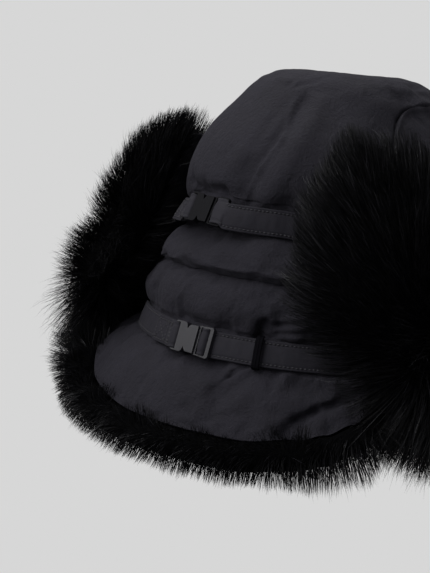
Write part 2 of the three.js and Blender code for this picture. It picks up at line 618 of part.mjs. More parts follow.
for (const [name, strap, steps] of [['upper', UPPER_STRAP, 16], ['lower', LOWER_STRAP, 12]]) {
  const radius = OVAL.meanRadius + strap.standOff;
  const angleAt = (run) => strap.buckle + THREE.MathUtils.radToDeg(run / radius);
  const tabEnd = angleAt(BUCKLE.back + BUCKLE_BAR.back + 1);
  hat.add(nylonMesh(`${name}_strap`, strapBand(strap, angleAt(strap.start), strap.end, steps)));
  hat.add(nylonMesh(`${name}_strap_tab`, strapBand(strap, strap.tabStart, tabEnd, steps)));
  hat.add(buckleGroup(strap, name));
}
hat.add(nylonMesh('lower_strap_keeper', strapKeeper()));

export default hat;
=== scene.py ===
"""Looks of a padded nylon bomber hat with long black fur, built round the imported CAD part.

Shapes are worked out in millimetres in the part's frame: +Z up, -Y to the front, -X to the wearer's right.
Angles are degrees from the centre back toward the wearer's right.
"""

import bpy
import numpy as np
from mathutils import Matrix, Vector


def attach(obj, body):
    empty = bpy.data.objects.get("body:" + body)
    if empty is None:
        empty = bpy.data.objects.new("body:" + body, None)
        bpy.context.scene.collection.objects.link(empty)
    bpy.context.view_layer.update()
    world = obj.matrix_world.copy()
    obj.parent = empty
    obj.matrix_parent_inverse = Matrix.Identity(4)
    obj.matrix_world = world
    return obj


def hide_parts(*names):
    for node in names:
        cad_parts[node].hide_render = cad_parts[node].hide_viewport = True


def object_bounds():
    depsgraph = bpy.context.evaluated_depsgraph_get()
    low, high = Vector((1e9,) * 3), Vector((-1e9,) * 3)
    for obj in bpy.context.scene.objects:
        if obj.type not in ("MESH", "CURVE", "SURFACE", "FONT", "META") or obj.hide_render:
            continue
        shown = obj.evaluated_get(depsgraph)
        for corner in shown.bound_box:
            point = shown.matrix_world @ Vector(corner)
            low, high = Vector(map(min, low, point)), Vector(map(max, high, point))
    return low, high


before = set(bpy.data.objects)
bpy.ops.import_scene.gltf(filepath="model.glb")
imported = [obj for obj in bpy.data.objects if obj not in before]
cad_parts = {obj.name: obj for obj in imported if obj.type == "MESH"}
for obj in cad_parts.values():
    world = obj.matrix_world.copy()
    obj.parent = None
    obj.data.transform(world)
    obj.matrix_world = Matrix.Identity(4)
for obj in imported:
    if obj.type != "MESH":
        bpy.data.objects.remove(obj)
cad_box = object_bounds()

MM = 0.001
# Corners closer than this many mm become one
WELD = 0.002
SIDES = ((1, "right"), (-1, "left"))

# Driving dimensions, the same as the part's
HALF_WIDTH, HALF_LENGTH, MEAN_RADIUS = 99.0, 113.0, 106.0
STRAP_WIDTH, STRAP_THICKNESS, STRAP_CLEARANCE = 18.4, 1.6, 0.7
UPPER = {
    "name": "upper", "height": 39, "stand_off": -3.3, "tab_start": -60, "end": 60,
    "buckle": 3, "lift": 1.7, "turn": 6,
}
LOWER = {
    "name": "lower", "height": -45.5, "stand_off": 23.5, "tab_start": -31, "end": 58,
    "buckle": 11.5, "lift": 1.9, "turn": 0,
}
# How far the lower strap leans out for each mm that it drops
LOWER_SLOPE = 5.5 / 18
KEEPER = {"angle": 32.0, "width": 5.2, "thickness": 1.2, "over": 2.8, "clear": 1.1, "lift": 1.8, "bow": 16}
NECK_SPAN, NECK_EDGE, NECK_BEND = 63.0, 97.0, 55.0
# Share of a turned-up flap that follows the seam's level, gap between nylon and fur, and how much of a fold's
# depth shows inside
SEAM_REACH, FUR_GAP, FOLD_INSIDE = 0.35, 0.8, 0.4
# A turned-up flap's back edge curls in toward the crown, and the left ear flap's swings backward
CURL = {"depth": 20.0, "share": 0.35, "start": -35.0, "full": 10.0, "outside": 0.3}
LEFT_SWAY = {"degrees": 8.0, "share": 0.6, "width": 0.07}
# Arch over each side panel, and the stand-offs between which folds fade out toward the middle of the top
ARCH = {"angle": 108.0, "half_span": 50.0, "top": 0.8, "roundness": 4.4}
POLE = (-106, -80)
# What the part leaves out: how far edges are tucked up under the crown, and the heights that the cloth gathers
# at beside each strap
SEAM_TUCK = 3.2
UPPER_EDGES, LOWER_EDGES = (28.5, 49.5), (-55, -36)


def table(names, rows):
    """Turns rows of numbers into one array for each named column."""
    return dict(zip(names.split(), np.array(rows, float).T))


CROWN = table("height stand inner_height inner_stand", [
    (0, 12.5, 0, -12),
    (4, 15.5, 5, -12.5),
    (10, 16.5, 10, -13),
    (18, 13.5, 18, -14),
    (25, 5, 26, -15),
    (28.5, -3.2, 31, -15.5),
    (39, -5, 39, -16),
    (49.5, -3.6, 47, -15),
    (53, -1.5, 54, -14),
    (62, -1, 62, -13),
    (76, -4.5, 74, -16),
    (91, -12, 87, -23),
    (104.5, -22.5, 99, -33),
    (116, -33, 109, -44),
    (127, -42.5, 118, -53.5),
    (135, -52, 125, -63),
    (140, -68, 129, -77),
    (141.5, -106, 130.5, -106),
])
LEVELS = table("angle seam strap out lean", [
    (-180, 0, -3, 0, 0.1),
    (-70, -5, -8, 1, 0.2),
    (-40, -6, -9, 4.5, 0.45),
    (-18, -1.5, -2.5, 6.5, 0.6),
    (0, 0, 1, 6, 0.5),
    (25, 0, 0, 0.6, 0.1),
    (60, 0, -3, 0, 0),
    (180, 0, -3, 0, 0),
])
NECK = table("height stand thickness", [
    (-0.8, 11.5, 4),
    (-4, 15.5, 7),
    (-11, 20, 9),
    (-22, 24, 9.5),
    (-32, 23.5, 9),
    (-36.5, 20.5, 7),
    (-45.5, 22.9, 7),
    (-54.5, 26, 7),
    (-59, 31.5, 8.5),
    (-71, 41.5, 9.5),
    (-84, 50, 9),
    (-93, 56, 7),
    (-97, 58.5, 3),
])
NECK_HEM = table("angle drop roll", [
    (-63, 66, 1.1), (-55, 73, 1.35), (-42, 80, 1.4), (-25, 93, 1.1), (0, 97, 1),
    (32, 97, 1), (46, 92, 1), (52, 87, 1), (58, 79, 1), (63, 67, 1),
])
EAR = table("stand height thickness back front pile fur_back fur_front", [
    (4, -2.2, 4, 63.6, 124, 4, 63.6, 124),
    (13, -16, 7, 63.6, 124, 9, 63.6, 124),
    (25, -38, 8, 63.6, 124, 12, 63.6, 125),
    (37, -58, 8, 63.8, 124, 18, 63.8, 126),
    (47, -65, 8, 65, 124, 26, 65, 127),
    (56, -57, 8, 64, 124, 31, 62.5, 129),
    (55, -40, 8, 58, 124, 34, 52, 130),
    (48, -8, 8, 47, 124, 34, 39.5, 130),
    (39, 28, 8, 44, 123, 33, 37.5, 129),
    (29, 62, 7, 45, 119, 29, 38.5, 125),
    (21, 84, 3, 50, 111, 23, 43, 117),
    (17, 97, 3, 55, 106, 9, 50, 109),
])
EAR_REACH = table("angle fold top", [
    (36, 1, 0.98), (55, 1, 1.03), (72, 1, 1), (88, 0.92, 0.93), (105, 0.72, 0.82), (130, 0.4, 0.66),
])
BROW = table("stand height thickness back front pile fur_back fur_front", [
    (6, -1.9, 4, 126, 234, 4, 127, 233),
    (14, -12, 7, 128, 232, 14, 130, 230),
    (24, -10, 7, 131, 229, 22, 132, 228),
    (29, 4, 7, 133, 227, 25, 132.5, 227.5),
    (27, 24, 7, 135, 225, 25, 132.5, 227.5),
    (22, 44, 6, 139, 221, 21, 135, 225),
    (18, 58, 3, 146, 214, 15, 141, 219),
    (15, 67, 3, 152, 208, 6, 148, 212),
])
HEM_ROLL = table("out up", [
    (-3.4, -2.8), (0.5, -2.2), (9, 1), (18, -3), (22, -11), (19, -20), (8, -25), (-6, -23), (-17, -12),
])
# Folds and dents pressed into the padding: troughs from one place to another, ridges where depth is negative
FOLDS = table("angle height to_angle to_height width depth", [
    (28, 118, 16, 56, 7, 3.5),
    (38, 114, 27, 58, 9, -2.5),
    (-22, 58, -8, 56, 5, 2.5),
    (-22, 20, 6, 24, 5, 7),
    (-20, 50, 4, 54, 4, 4),
    (75, 136, 20, 142, 7, 2.5),
    (98, 127, 175, 126, 16, -4),
    (-98, 127, -175, 126, 16, -4),
    (78, 128, 175, 126, 20, -3.5),
    (-78, 128, -175, 126, 20, -3.5),
    (35, -31, 37, -27, 6, 4),
    (2, -33, 21, -33, 3, 3),
    (2, -58, 21, -58, 4, 4.5),
    (33, -58, 37, -58, 4, 4),
    (31, -62, 24, -76, 6, 3),
    (44, -92, 57, -75, 6, 3),
    (45, -62, 50, -66, 5, 2.5),
])
# Sharper creases of the cloth itself, which the part leaves out
CROWN_CREASES = table("angle height to_angle to_height width depth", [
    (23, 117, 26, 94, 2.6, -1.2),
    (26, 94, 20, 73, 2.6, -1.7),
    (20, 73, 14, 50, 2.6, -1.7),
    (17, 108, 14, 73, 7, 1.5),
    (14, 73, 7, 52, 7, 1.5),
    (50, 126, 62, 129, 3, -0.7),
    (62, 129, 84, 136, 3, -0.8),
    (-18, 55, -14, 53, 3, 3.5),
    (-5, 134, 11, 131, 2, -1),
    (19, 130, 32, 134, 2, 1),
])
NECK_CREASES = table("angle height to_angle to_height width depth", [
    (22.5, -72, 25, -61.6, 3, 2),
    (25, -61.6, 28.5, -56, 3, 2.6),
    (42.5, -94, 45.5, -85, 3, 2.6),
    (45.5, -85, 49.5, -80.5, 3, 3),
    (49.5, -80.5, 58, -76, 3, 2.6),
    (35, -24, 45, -19.5, 2.2, -1.4),
    (36, -30, 47, -24, 2.2, -1.4),
    (36, -35, 46.5, -31.5, 2.2, -1.2),
    (35.5, -27, 46, -22, 1.8, 1.3),
    (36, -33, 46.5, -28, 1.8, 1.3),
    (31, -36, 32.5, -26, 3, 6),
    (8, -60, 15.5, -81.5, 3, -1.4),
    (52, -88, 60, -80, 4, -1.6),
])


# Numbers over whole arrays
def smoothstep(value, low, high):
    """0 below low, 1 above high, and 3t^2 - 2t^3 of the share t between them."""
    share = np.clip((value - low) / (high - low), 0, 1)
    return share * share * (3 - 2 * share)


def blend(low, high, share):
    """low at share 0 and high at share 1, in a straight line."""
    return low + (high - low) * share


def by_angle(rows, column, angle):
    """A table's column at an angle, with a smoothstep from each row to the next."""
    angles, values = rows["angle"], rows[column]
    low = np.clip(np.searchsorted(angles, angle) - 1, 0, len(angles) - 2)
    return blend(values[low], values[low + 1], smoothstep(angle, angles[low], angles[low + 1]))


def by_share(rows, column, share):
    """A table's column at a share of the way down it, in straight lines."""
    values = rows[column]
    place = np.clip(share, 0, 1) * (len(values) - 1)
    low = np.minimum(place.astype(int), len(values) - 2)
    return blend(values[low], values[low + 1], place - low)


def spline(values, share):
    """A smooth line through equally spaced values: the cubic with slope (next - last) / 2 at each of them."""
    values = np.asarray(values, float)
    top = len(values) - 1
    place = np.clip(share, 0, 1) * top
    low = np.minimum(place.astype(int), top - 1)
    t = place - low
    if values.ndim > 1:
        t = t[..., None]
    before, here = values[np.maximum(low - 1, 0)], values[low]
    after, beyond = values[low + 1], values[np.minimum(low + 2, top)]
    leave, arrive = (after - before) / 2, (beyond - here) / 2
    return (
        (2 * here - 2 * after + leave + arrive) * t**3
        + (-3 * here + 3 * after - 2 * leave - arrive) * t**2
        + leave * t
        + here
    )


def spline_slope(values, share):
    """Slope of that line, from its values a ten-thousandth before and after."""
    step = 1e-4
    return spline(values, np.minimum(share + step, 1)) - spline(values, np.maximum(share - step, 0))


def unit(vectors):
    """Vectors made one long."""
    return vectors / np.maximum(np.linalg.norm(vectors, axis=-1, keepdims=True), 1e-9)


def cell_key(x, y, z):
    """One number for each cell of a lattice, its three places mixed by large primes."""
    return (x * 73856093) ^ (y * 19349663) ^ (z * 83492791)


def lattice_noise(points, size, seed):
    """Smooth noise from -1 to 1: random values at the corners of cubes of that size, blended across each cube
    by 6t^5 - 15t^4 + 10t^3."""
    scaled = np.asarray(points, float) / size + 1000.0 + 17.3 * seed
    cell = np.floor(scaled).astype(np.int64)
    t = scaled - cell
    t = t * t * t * (t * (6 * t - 15) + 10)
    total = 0
    for dx in (0, 1):
        for dy in (0, 1):
            for dz in (0, 1):
                x, y, z = cell[..., 0] + dx, cell[..., 1] + dy, cell[..., 2] + dz
                mixed = cell_key(x, y, z) ^ (seed * 2654435761)
                mixed = (mixed ^ (mixed >> 13)) * 1274126177
                value = ((mixed ^ (mixed >> 16)) & 0xFFFF) / 32767.5 - 1
                weight = np.where(dx, t[..., 0], 1 - t[..., 0])
                weight = weight * np.where(dy, t[..., 1], 1 - t[..., 1])
                weight = weight * np.where(dz, t[..., 2], 1 - t[..., 2])
                total = total + value * weight
    return total


def creases(points, size, seed):
    """Sharp-bottomed crinkles from 0 to 1: one less the size of warped noise, cubed, at two sizes."""
    warp = np.stack([lattice_noise(points, size * 1.7, seed + k) for k in (5, 6, 7)], -1) * size * 0.5
    broad = (1 - np.abs(lattice_noise(points + warp, size, seed))) ** 3
    small = (1 - np.abs(lattice_noise(points + warp, size * 0.45, seed + 1))) ** 3
    return 0.65 * broad + 0.35 * small


def oval_point(angle, stand_off, height):
    """Inside its oval the hat shrinks toward the middle, and outside it grows by an even stand-off."""
    turn = np.radians(angle)
    shrink = 1 + np.minimum(stand_off, 0) / MEAN_RADIUS
    outward = np.maximum(stand_off, 0)
    x = -(HALF_WIDTH * shrink + outward) * np.sin(turn)
    y = (HALF_LENGTH * shrink + outward) * np.cos(turn)
    return np.stack(np.broadcast_arrays(x, y, height), -1).astype(float)


def ring_point(radius, angle):
    """Places round a level circle: radius times (cos, sin, 0) of an angle in degrees."""
    turn = np.radians(angle)
    return radius * np.stack([np.cos(turn), np.sin(turn), 0 * turn], -1)


def signed(angle):
    """The same angle, from -180 to 180."""
    return (np.asarray(angle, float) + 180) % 360 - 180


def fold_depth(angle, height, rows=FOLDS):
    """Sum of bell-shaped troughs, each depth * exp(-(distance from its line / width)^2)."""
    to_mm = np.radians(MEAN_RADIUS)
    depth = 0
    for k in range(len(rows["angle"])):
        start = np.array([rows["angle"][k] * to_mm, rows["height"][k]])
        along = np.array([rows["to_angle"][k] * to_mm, rows["to_height"][k]]) - start
        dx, dy = angle * to_mm - start[0], height - start[1]
        share = np.clip((dx * along[0] + dy * along[1]) / (along @ along), 0, 1)
        away = np.hypot(dx - share * along[0], dy - share * along[1]) / rows["width"][k]
        depth = depth + rows["depth"][k] * np.exp(-away * away)
    return depth


def level_shift(angle, height):
    """The seam's shift at height 0, the strap's at the strap, and a smooth fade above and below them."""
    strap, seam = by_angle(LEVELS, "strap", angle), by_angle(LEVELS, "seam", angle)
    below = seam * smoothstep(height, -UPPER["height"], 0)
    between = blend(seam, strap, height / UPPER["height"])
    above = strap * (1 - smoothstep(height, UPPER["height"], 100))
    return np.where(height < 0, below, np.where(height < UPPER["height"], between, above))


def crown_point(angle, share, inside=False):
    """The crown's section spline at a share of its way up, turned to an angle on the oval. Its folds fade out
    toward the middle of the top."""
    prefix = "inner_" if inside else ""
    stand, height = spline(CROWN[prefix + "stand"], share), spline(CROWN[prefix + "height"], share)
    turn = signed(angle)
    fold = 0 if inside else fold_depth(turn, height) * smoothstep(stand, *POLE)
    return oval_point(angle, stand - fold, height + level_shift(turn, height))


def section(rows, share):
    """Stand-off and height of a section's spline at a share of its length, and its unit slope in both."""
    names = ("stand", "height")
    slope = unit(np.stack([spline_slope(rows[name], share) for name in names], -1))
    return *(spline(rows[name], share) for name in names), slope


def neck_point(angle, share, depth):
    """The neck flap's section spline, sunk by a depth along its own normal and stretched to its hem."""
    stand, height, slope = section(NECK, share)
    fold = fold_depth(angle, height) * np.where(np.asarray(depth) == 0, 1, FOLD_INSIDE)
    stand_off = stand + slope[..., 1] * depth - fold
    low = height - slope[..., 0] * depth
    reach = (by_angle(NECK_HEM, "drop", angle) - NECK_BEND) / (NECK_EDGE - NECK_BEND)
    low = np.where(low < -NECK_BEND, -NECK_BEND + (low + NECK_BEND) * reach, low)
    return oval_point(angle, stand_off, low + level_shift(angle, low))


def flap_point(rows, reach_rows, side, angle, share, offset, curl=0.0):
    """A turned-up flap's section spline, moved out by an offset along its normal and scaled by its reach. Where
    it has risen past the fold, a curled edge is drawn in toward the crown by the curl's share of its depth."""
    stand, height, slope = section(rows, share)
    rise = smoothstep(height, CURL["start"], CURL["full"]) * (share > 0.5)
    stand_off, height = stand + slope[..., 1] * offset, height - slope[..., 0] * offset
    seam = by_angle(LEVELS, "seam", signed(side * angle)) * np.maximum(0, 1 - share / SEAM_REACH)
    if reach_rows:
        stand_off = stand_off - curl * rise * CURL["depth"]
        fold, top = by_angle(reach_rows, "fold", angle), by_angle(reach_rows, "top", angle)
        height = height * np.where(height < 0, fold, top)
    return oval_point(side * angle, stand_off, height + seam)


# Meshes from arrays
def grid_quads(rows, columns, wrap=False):
    """Four corners of each cell of a grid of points, whose columns join up again if it wraps."""
    i, j = np.meshgrid(np.arange(rows - 1), np.arange(columns if wrap else columns - 1), indexing="ij")
    here, beside = i * columns + j, i * columns + (j + 1) % columns
    return np.stack([here, beside, beside + columns, here + columns], -1).reshape(-1, 4)


class Build:
    """Gathers arrays of points and faces, and makes one mesh object of them at the end."""

    def __init__(self, name):
        self.name, self.points, self.corners, self.sizes, self.finishes = name, [], [], [], []
        self.count = 0

    def add(self, points, faces, finish=0):
        points = np.asarray(points, float).reshape(-1, 3)
        self.points.append(points)
        self.corners.append((faces + self.count).ravel())
        self.sizes.append(np.full(len(faces), faces.shape[1]))
        self.finishes.append(np.full(len(faces), finish))
        self.count += len(points)
        return self

    def make(self, *materials, merge=0.0):
        points, corners, sizes = (np.concatenate(x) for x in (self.points, self.corners, self.sizes))
        starts = np.concatenate([[0], np.cumsum(sizes)[:-1]])
        mesh = bpy.data.meshes.new(self.name)
        mesh.vertices.add(len(points))
        mesh.vertices.foreach_set("co", (points * MM).astype(np.float32).ravel())
        mesh.loops.add(len(corners))
        mesh.loops.foreach_set("vertex_index", corners.astype(np.int32))
        mesh.polygons.add(len(sizes))
        mesh.polygons.foreach_set("loop_start", starts.astype(np.int32))
        mesh.polygons.foreach_set("material_index", np.concatenate(self.finishes).astype(np.int32))
        mesh.polygons.foreach_set("use_smooth", np.ones(len(sizes), bool))
        mesh.update(calc_edges=True)
        mesh.validate()
        for material in materials:
            mesh.materials.append(material)
        piece = bpy.data.objects.new(self.name, mesh)
        bpy.context.scene.collection.objects.link(piece)
        if merge:
            weld = piece.modifiers.new("join_edges", "WELD")
            weld.merge_threshold = merge * MM
            apply_modifiers(piece)
        return piece


def apply_modifiers(piece):
    """Replaces a piece's mesh by what its modifiers make of it."""
    made = bpy.data.meshes.new_from_object(piece.evaluated_get(bpy.context.evaluated_depsgraph_get()))
    piece.modifiers.clear()
    old, piece.data = piece.data, made
    bpy.data.meshes.remove(old)


def grid_normals(points, wrap=False):
    """Unit normals of a grid of points: the cross product of its slopes along the columns and the rows."""
    if wrap:
        across = np.roll(points, -1, 1) - np.roll(points, 1, 1)
    else:
        across = np.gradient(points, axis=1)
    return unit(np.cross(across, np.gradient(points, axis=0)))


def closed_wall(name, outer, inner, wrap=False):
    """Outer and inner grids with the same columns, and the same rows unless they wrap, joined along their edges
    into one closed body."""
    (rows, columns), inner_rows = outer.shape[:2], inner.shape[0]
    base, across = rows * columns, np.arange(columns)
    outer_end, inner_end = base - columns + across, base + (inner_rows - 1) * columns + across
    faces = [
        grid_quads(rows, columns, wrap),
        grid_quads(inner_rows, columns, wrap)[:, ::-1] + base,
        rim(across, base + across, wrap)[:, ::-1],
        rim(outer_end, inner_end, wrap),
    ]
    if not wrap:
        first = np.arange(rows) * columns
        last = first + columns - 1
        faces += [rim(first, base + first, False), rim(last, base + last, False)[:, ::-1]]
    return Build(name).add(np.concatenate([outer.reshape(-1, 3), inner.reshape(-1, 3)]), np.concatenate(faces))


def rim(one, other, wrap):
    """Quads between two rows of points."""
    after, beyond = (np.roll(one, -1), np.roll(other, -1)) if wrap else (one[1:], other[1:])
    first, second = (one, other) if wrap else (one[:-1], other[:-1])
    return np.stack([first, after, beyond, second], -1)


def triangulated(quads):
    """Two triangles for each quad."""
    return np.concatenate([quads[:, [0, 1, 2]], quads[:, [0, 2, 3]]])


def signed_volume(points, triangles):
    """Six times the volume of a closed body: the sum of a . (b x c) over its triangles, below 0 if inside out."""
    a, b, c = (points[triangles[:, k]] for k in range(3))
    return (a * np.cross(b, c)).sum()


def outward_body(points, triangles):
    """The triangles of a closed body, turned if it is inside out."""
    return triangles if signed_volume(points, triangles) > 0 else triangles[:, ::-1]


def closed_tube(rings):
    """Points and triangles of a tube of rings, with a centre point closing each end."""
    rows, columns = rings.shape[:2]
    points = np.concatenate([rings.reshape(-1, 3), rings[:1].mean(1), rings[-1:].mean(1)])
    first, last = np.arange(columns), (rows - 1) * columns + np.arange(columns)
    centre = np.full(columns, rows * columns)
    faces = [
        triangulated(grid_quads(rows, columns, True)),
        np.stack([centre, np.roll(first, -1), first], -1),
        np.stack([last, np.roll(last, -1), centre + 1], -1),
    ]
    return points, outward_body(points, np.concatenate(faces))


def run_along(line):
    """Distance run from the first point of a line to each of its points."""
    return np.concatenate([[0], np.cumsum(np.linalg.norm(np.diff(line, axis=0), axis=1))])


def near_line(points, line):
    """Distance in mm from each point to the nearest of a line's close-set points, and how far along that is,
    worked out for a block of points at a time."""
    flat, block = points.reshape(-1, 3), 20000
    run = run_along(line)
    distance, along = np.empty(len(flat)), np.empty(len(flat))
    for start in range(0, len(flat), block):
        part = flat[start:start + block]
        squares = (part**2).sum(1)[:, None] + (line**2).sum(1)[None] - 2 * part @ line.T
        nearest = squares.argmin(1)
        distance[start:start + block] = np.sqrt(np.maximum(squares[np.arange(len(part)), nearest], 0))
        along[start:start + block] = run[nearest]
    return distance.reshape(points.shape[:-1]), along.reshape(points.shape[:-1])


def puckers(distance, along, reach, period, seed):
    """Gathers that run out from a seam: waves along it whose width wanders, fading over their reach."""
    here = np.stack([along, np.full_like(along, 3.1 * seed), distance * 0.15], -1)
    wave = lattice_noise(here, period, seed) + 0.6 * lattice_noise(here, period * 0.55, seed + 1)
    return wave * np.exp(-distance / reach)


# Materials
class Wire:
    """One output socket, used in sums like a number: each operator adds a Math node."""

    def __init__(self, finish, socket):
        self.finish, self.socket = finish, socket

    def _math(self, operation, *terms):
        return self.finish.node("ShaderNodeMath", {"operation": operation}, dict(enumerate(terms)))

    def __add__(self, other):
        return self._math("ADD", self, other)

    def __radd__(self, other):
        return self._math("ADD", other, self)

    def __sub__(self, other):
        return self._math("SUBTRACT", self, other)

    def __rsub__(self, other):
        return self._math("SUBTRACT", other, self)

    def __mul__(self, other):
        return self._math("MULTIPLY", self, other)

    def __rmul__(self, other):
        return self._math("MULTIPLY", other, self)

    def __abs__(self):
        return self._math("ABSOLUTE", self)


class Nodes:
    """Adds nodes to a tree, with their settings and the values or wires of their sockets."""

    def __init__(self, tree):
        self.tree = tree

    def node(self, kind, settings=None, sockets=None, output=0):
        made = self.tree.nodes.new(kind)
        for name, value in (settings or {}).items():
            setattr(made, name, value)
        for key, value in (sockets or {}).items():
            self.put(made.inputs[key], value)
        return Wire(self, made.outputs[output])

    def put(self, socket, value):
        if isinstance(value, Wire):
            self.tree.links.new(value.socket, socket)
        else:
            socket.default_value = value

    def even_to_camera(self, others, seen):
        """Puts one shader in front of the camera and another before every other ray, as the tree's surface."""
        ray = self.node("ShaderNodeLightPath", output="Is Camera Ray")
        surface = self.node("ShaderNodeMixShader", None, {0: ray, 1: others, 2: seen})
        output = next(node for node in self.tree.nodes if node.type.startswith("OUTPUT"))
        self.put(output.inputs["Surface"], surface)


class Finish(Nodes):
    """A material made of nodes round one Principled shader."""

    def __init__(self, name, **constants):
        self.material = bpy.data.materials.new(name)
        self.material.use_nodes = True
        super().__init__(self.material.node_tree)
        self.shader = self.tree.nodes["Principled BSDF"]
        for socket, value in constants.items():
            self.shader.inputs[socket.replace("_", " ")].default_value = value

    def feed(self, socket, value):
        self.put(self.shader.inputs[socket], value)

    def place(self, scale=(1, 1, 1)):
        spot = self.node("ShaderNodeTexCoord", output="Object")
        return self.node("ShaderNodeMapping", None, {"Vector": spot, "Scale": scale})

    def noise(self, at, scale, detail=2.0, roughness=0.5, distortion=0.0):
        sockets = {"Vector": at, "Scale": scale, "Detail": detail, "Roughness": roughness}
        sockets["Distortion"] = distortion
        return self.node("ShaderNodeTexNoise", None, sockets, "Fac")

    def tint(self, factor, low, high):
        return self.node("ShaderNodeMix", {"data_type": "RGBA"}, {0: factor, 6: (*low, 1), 7: (*high, 1)}, 2)

    def relief(self, height, depth_mm, strength=1.0):
        sockets = {"Height": height, "Distance": depth_mm * MM, "Strength": strength}
        self.feed("Normal", self.node("ShaderNodeBump", None, sockets))


def padded_nylon():
    """Charcoal nylon: matte, with faint wandering crinkles, a fine dry grain and slight shifts of tone."""
    finish = Finish("charcoal_padded_nylon", Specular_IOR_Level=0.22, Sheen_Weight=0.05, Sheen_Roughness=0.6)
    finish.shader.inputs["Sheen Tint"].default_value = (0.8, 0.78, 0.9, 1)
    at = finish.place()
    broad = finish.noise(at, 30, 3, 0.55, 0.4)
    crinkle = 1 - abs(finish.noise(at, 90, 4, 0.6, 0.9) - 0.5) * 4
    fine = finish.noise(at, 480, 4, 0.7, 0.3)
    grain = finish.noise(at, 2000, 2, 0.5)
    tone = (broad * 0.45 + fine * 0.55) * 2.2 - 0.6
    finish.feed("Base Color", finish.tint(tone, (0.011, 0.0102, 0.0146), (0.0245, 0.0229, 0.0324)))
    finish.feed("Roughness", 0.66 + broad * 0.1 + grain * 0.12)
    finish.relief(crinkle * 0.4 + fine * 0.8 + grain * 0.3, 1.2)
    return finish.material


def strap_nylon():
    """The same cloth folded into straps: tighter weave, and wear that lightens it in patches."""
    finish = Finish("charcoal_strap_nylon", Specular_IOR_Level=0.24, Sheen_Weight=0.05, Sheen_Roughness=0.5)
    at = finish.place()
    wear = finish.noise(at, 160, 3, 0.6)
    weave = finish.noise(finish.place((1, 1, 2.4)), 1500, 2, 0.6)
    finish.feed("Base Color", finish.tint(wear, (0.0145, 0.0136, 0.0192), (0.0245, 0.023, 0.032)))
    finish.feed("Roughness", 0.62 + wear * 0.14)
    finish.relief(weave * 0.5 + wear * 0.5, 0.35)
    return finish.material


def moulded_plastic(name, low, high, roughness, shine):
    """Dark moulded plastic between two tones: an even fine spark grain, and long faint scuffs that shift its
    tone and roughness."""
    finish = Finish(name, Specular_IOR_Level=shine)
    at = finish.place()
    spark = finish.noise(at, 3200, 2, 0.5)
    scuff = finish.noise(finish.place((1, 1, 0.25)), 260, 4, 0.65)
    finish.feed("Base Color", finish.tint(scuff, low, high))
    finish.feed("Roughness", roughness + scuff * 0.14 + spark * 0.06)
    finish.relief(spark * 0.5 + scuff * 0.3, 0.05)
    return finish.material


def fur_hair(name, low, high, roughness, shine):
    """Near-black hair between two tones, which shift from tuft to tuft."""
    finish = Finish(name, Specular_IOR_Level=shine)
    at = finish.place()
    tuft = finish.noise(at, 110, 3, 0.6)
    finish.feed("Base Color", finish.tint(tuft * 2 - 0.5, low, high))
    finish.feed("Roughness", roughness + tuft * 0.2)
    finish.relief(finish.noise(at, 900, 2, 0.5), 0.05)
    return finish.material


def one_noise(name, shine, noise, low, high, roughness, relief):
    """Thread, underfur, or the keeper's near-black cloth, whose darkness is painted shade: tone, roughness and
    relief all follow one noise, given as scale, detail and roughness. Its own roughness is a base and what the
    noise adds to it."""
    finish = Finish(name, Specular_IOR_Level=shine)
    grain = finish.noise(finish.place(), *noise)
    finish.feed("Base Color", finish.tint(grain, low, high))
    finish.feed("Roughness", roughness[0] + grain * roughness[1])
    finish.relief(grain, relief)
    return finish.material


NYLON, STRAP = padded_nylon(), strap_nylon()
THREAD = one_noise(
    "dark_sewing_thread", 0.5, (1800, 2, 0.5), (0.026, 0.025, 0.03), (0.05, 0.048, 0.056), (0.42, 0.12), 0.1
)
# The keeper's cloth: darker than the strap's own cloth, as painted shade round the loop
KEEPER_SHADE_CLOTH = one_noise(
    "keeper_cloth_painted_shade", 0.03, (1500, 2, 0.6), (0.003, 0.0028, 0.004), (0.006, 0.0057, 0.0077), (0.7, 0.15), 0.3
)
UNDERFUR = one_noise(
    "black_underfur", 0.06, (300, 3, 0.7), (0.0006, 0.0006, 0.0008), (0.0018, 0.0018, 0.0022), (0.9, 0.1), 1.2
)
PLASTIC = moulded_plastic("dark_moulded_plastic", (0.02, 0.0195, 0.0245), (0.033, 0.032, 0.039), 0.3, 0.5)
# The upper buckle's plastic is the lower one's, made darker and duller: painted shade on its face, not wear
SHADED_PLASTIC = moulded_plastic("dark_plastic_painted_shade", (0.004, 0.0039, 0.0052), (0.009, 0.0088, 0.011), 0.5, 0.1)
HAIR = fur_hair("black_fur_hair", (0.0007, 0.0007, 0.001), (0.0036, 0.0035, 0.0048), 0.44, 0.2)
# Guard hairs are real, but their paler tone is painted highlight: streaks of glint on the black fur
GLINT_PAINTED_GUARD_HAIR = fur_hair("guard_hair_painted_glint", (0.005, 0.005, 0.0065), (0.024, 0.0232, 0.029), 0.32, 0.5)


def enter(piece, node):
    """A finished piece rides on the only body and stands for its CAD node, which is hidden."""
    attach(piece, "root")
    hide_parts(node)


def enter_padded(piece, node):
    """A padded nylon piece, entered as any other piece."""
    enter(piece, node)


# Cloth simulation of the padding
CLOTH_STEPS = 20


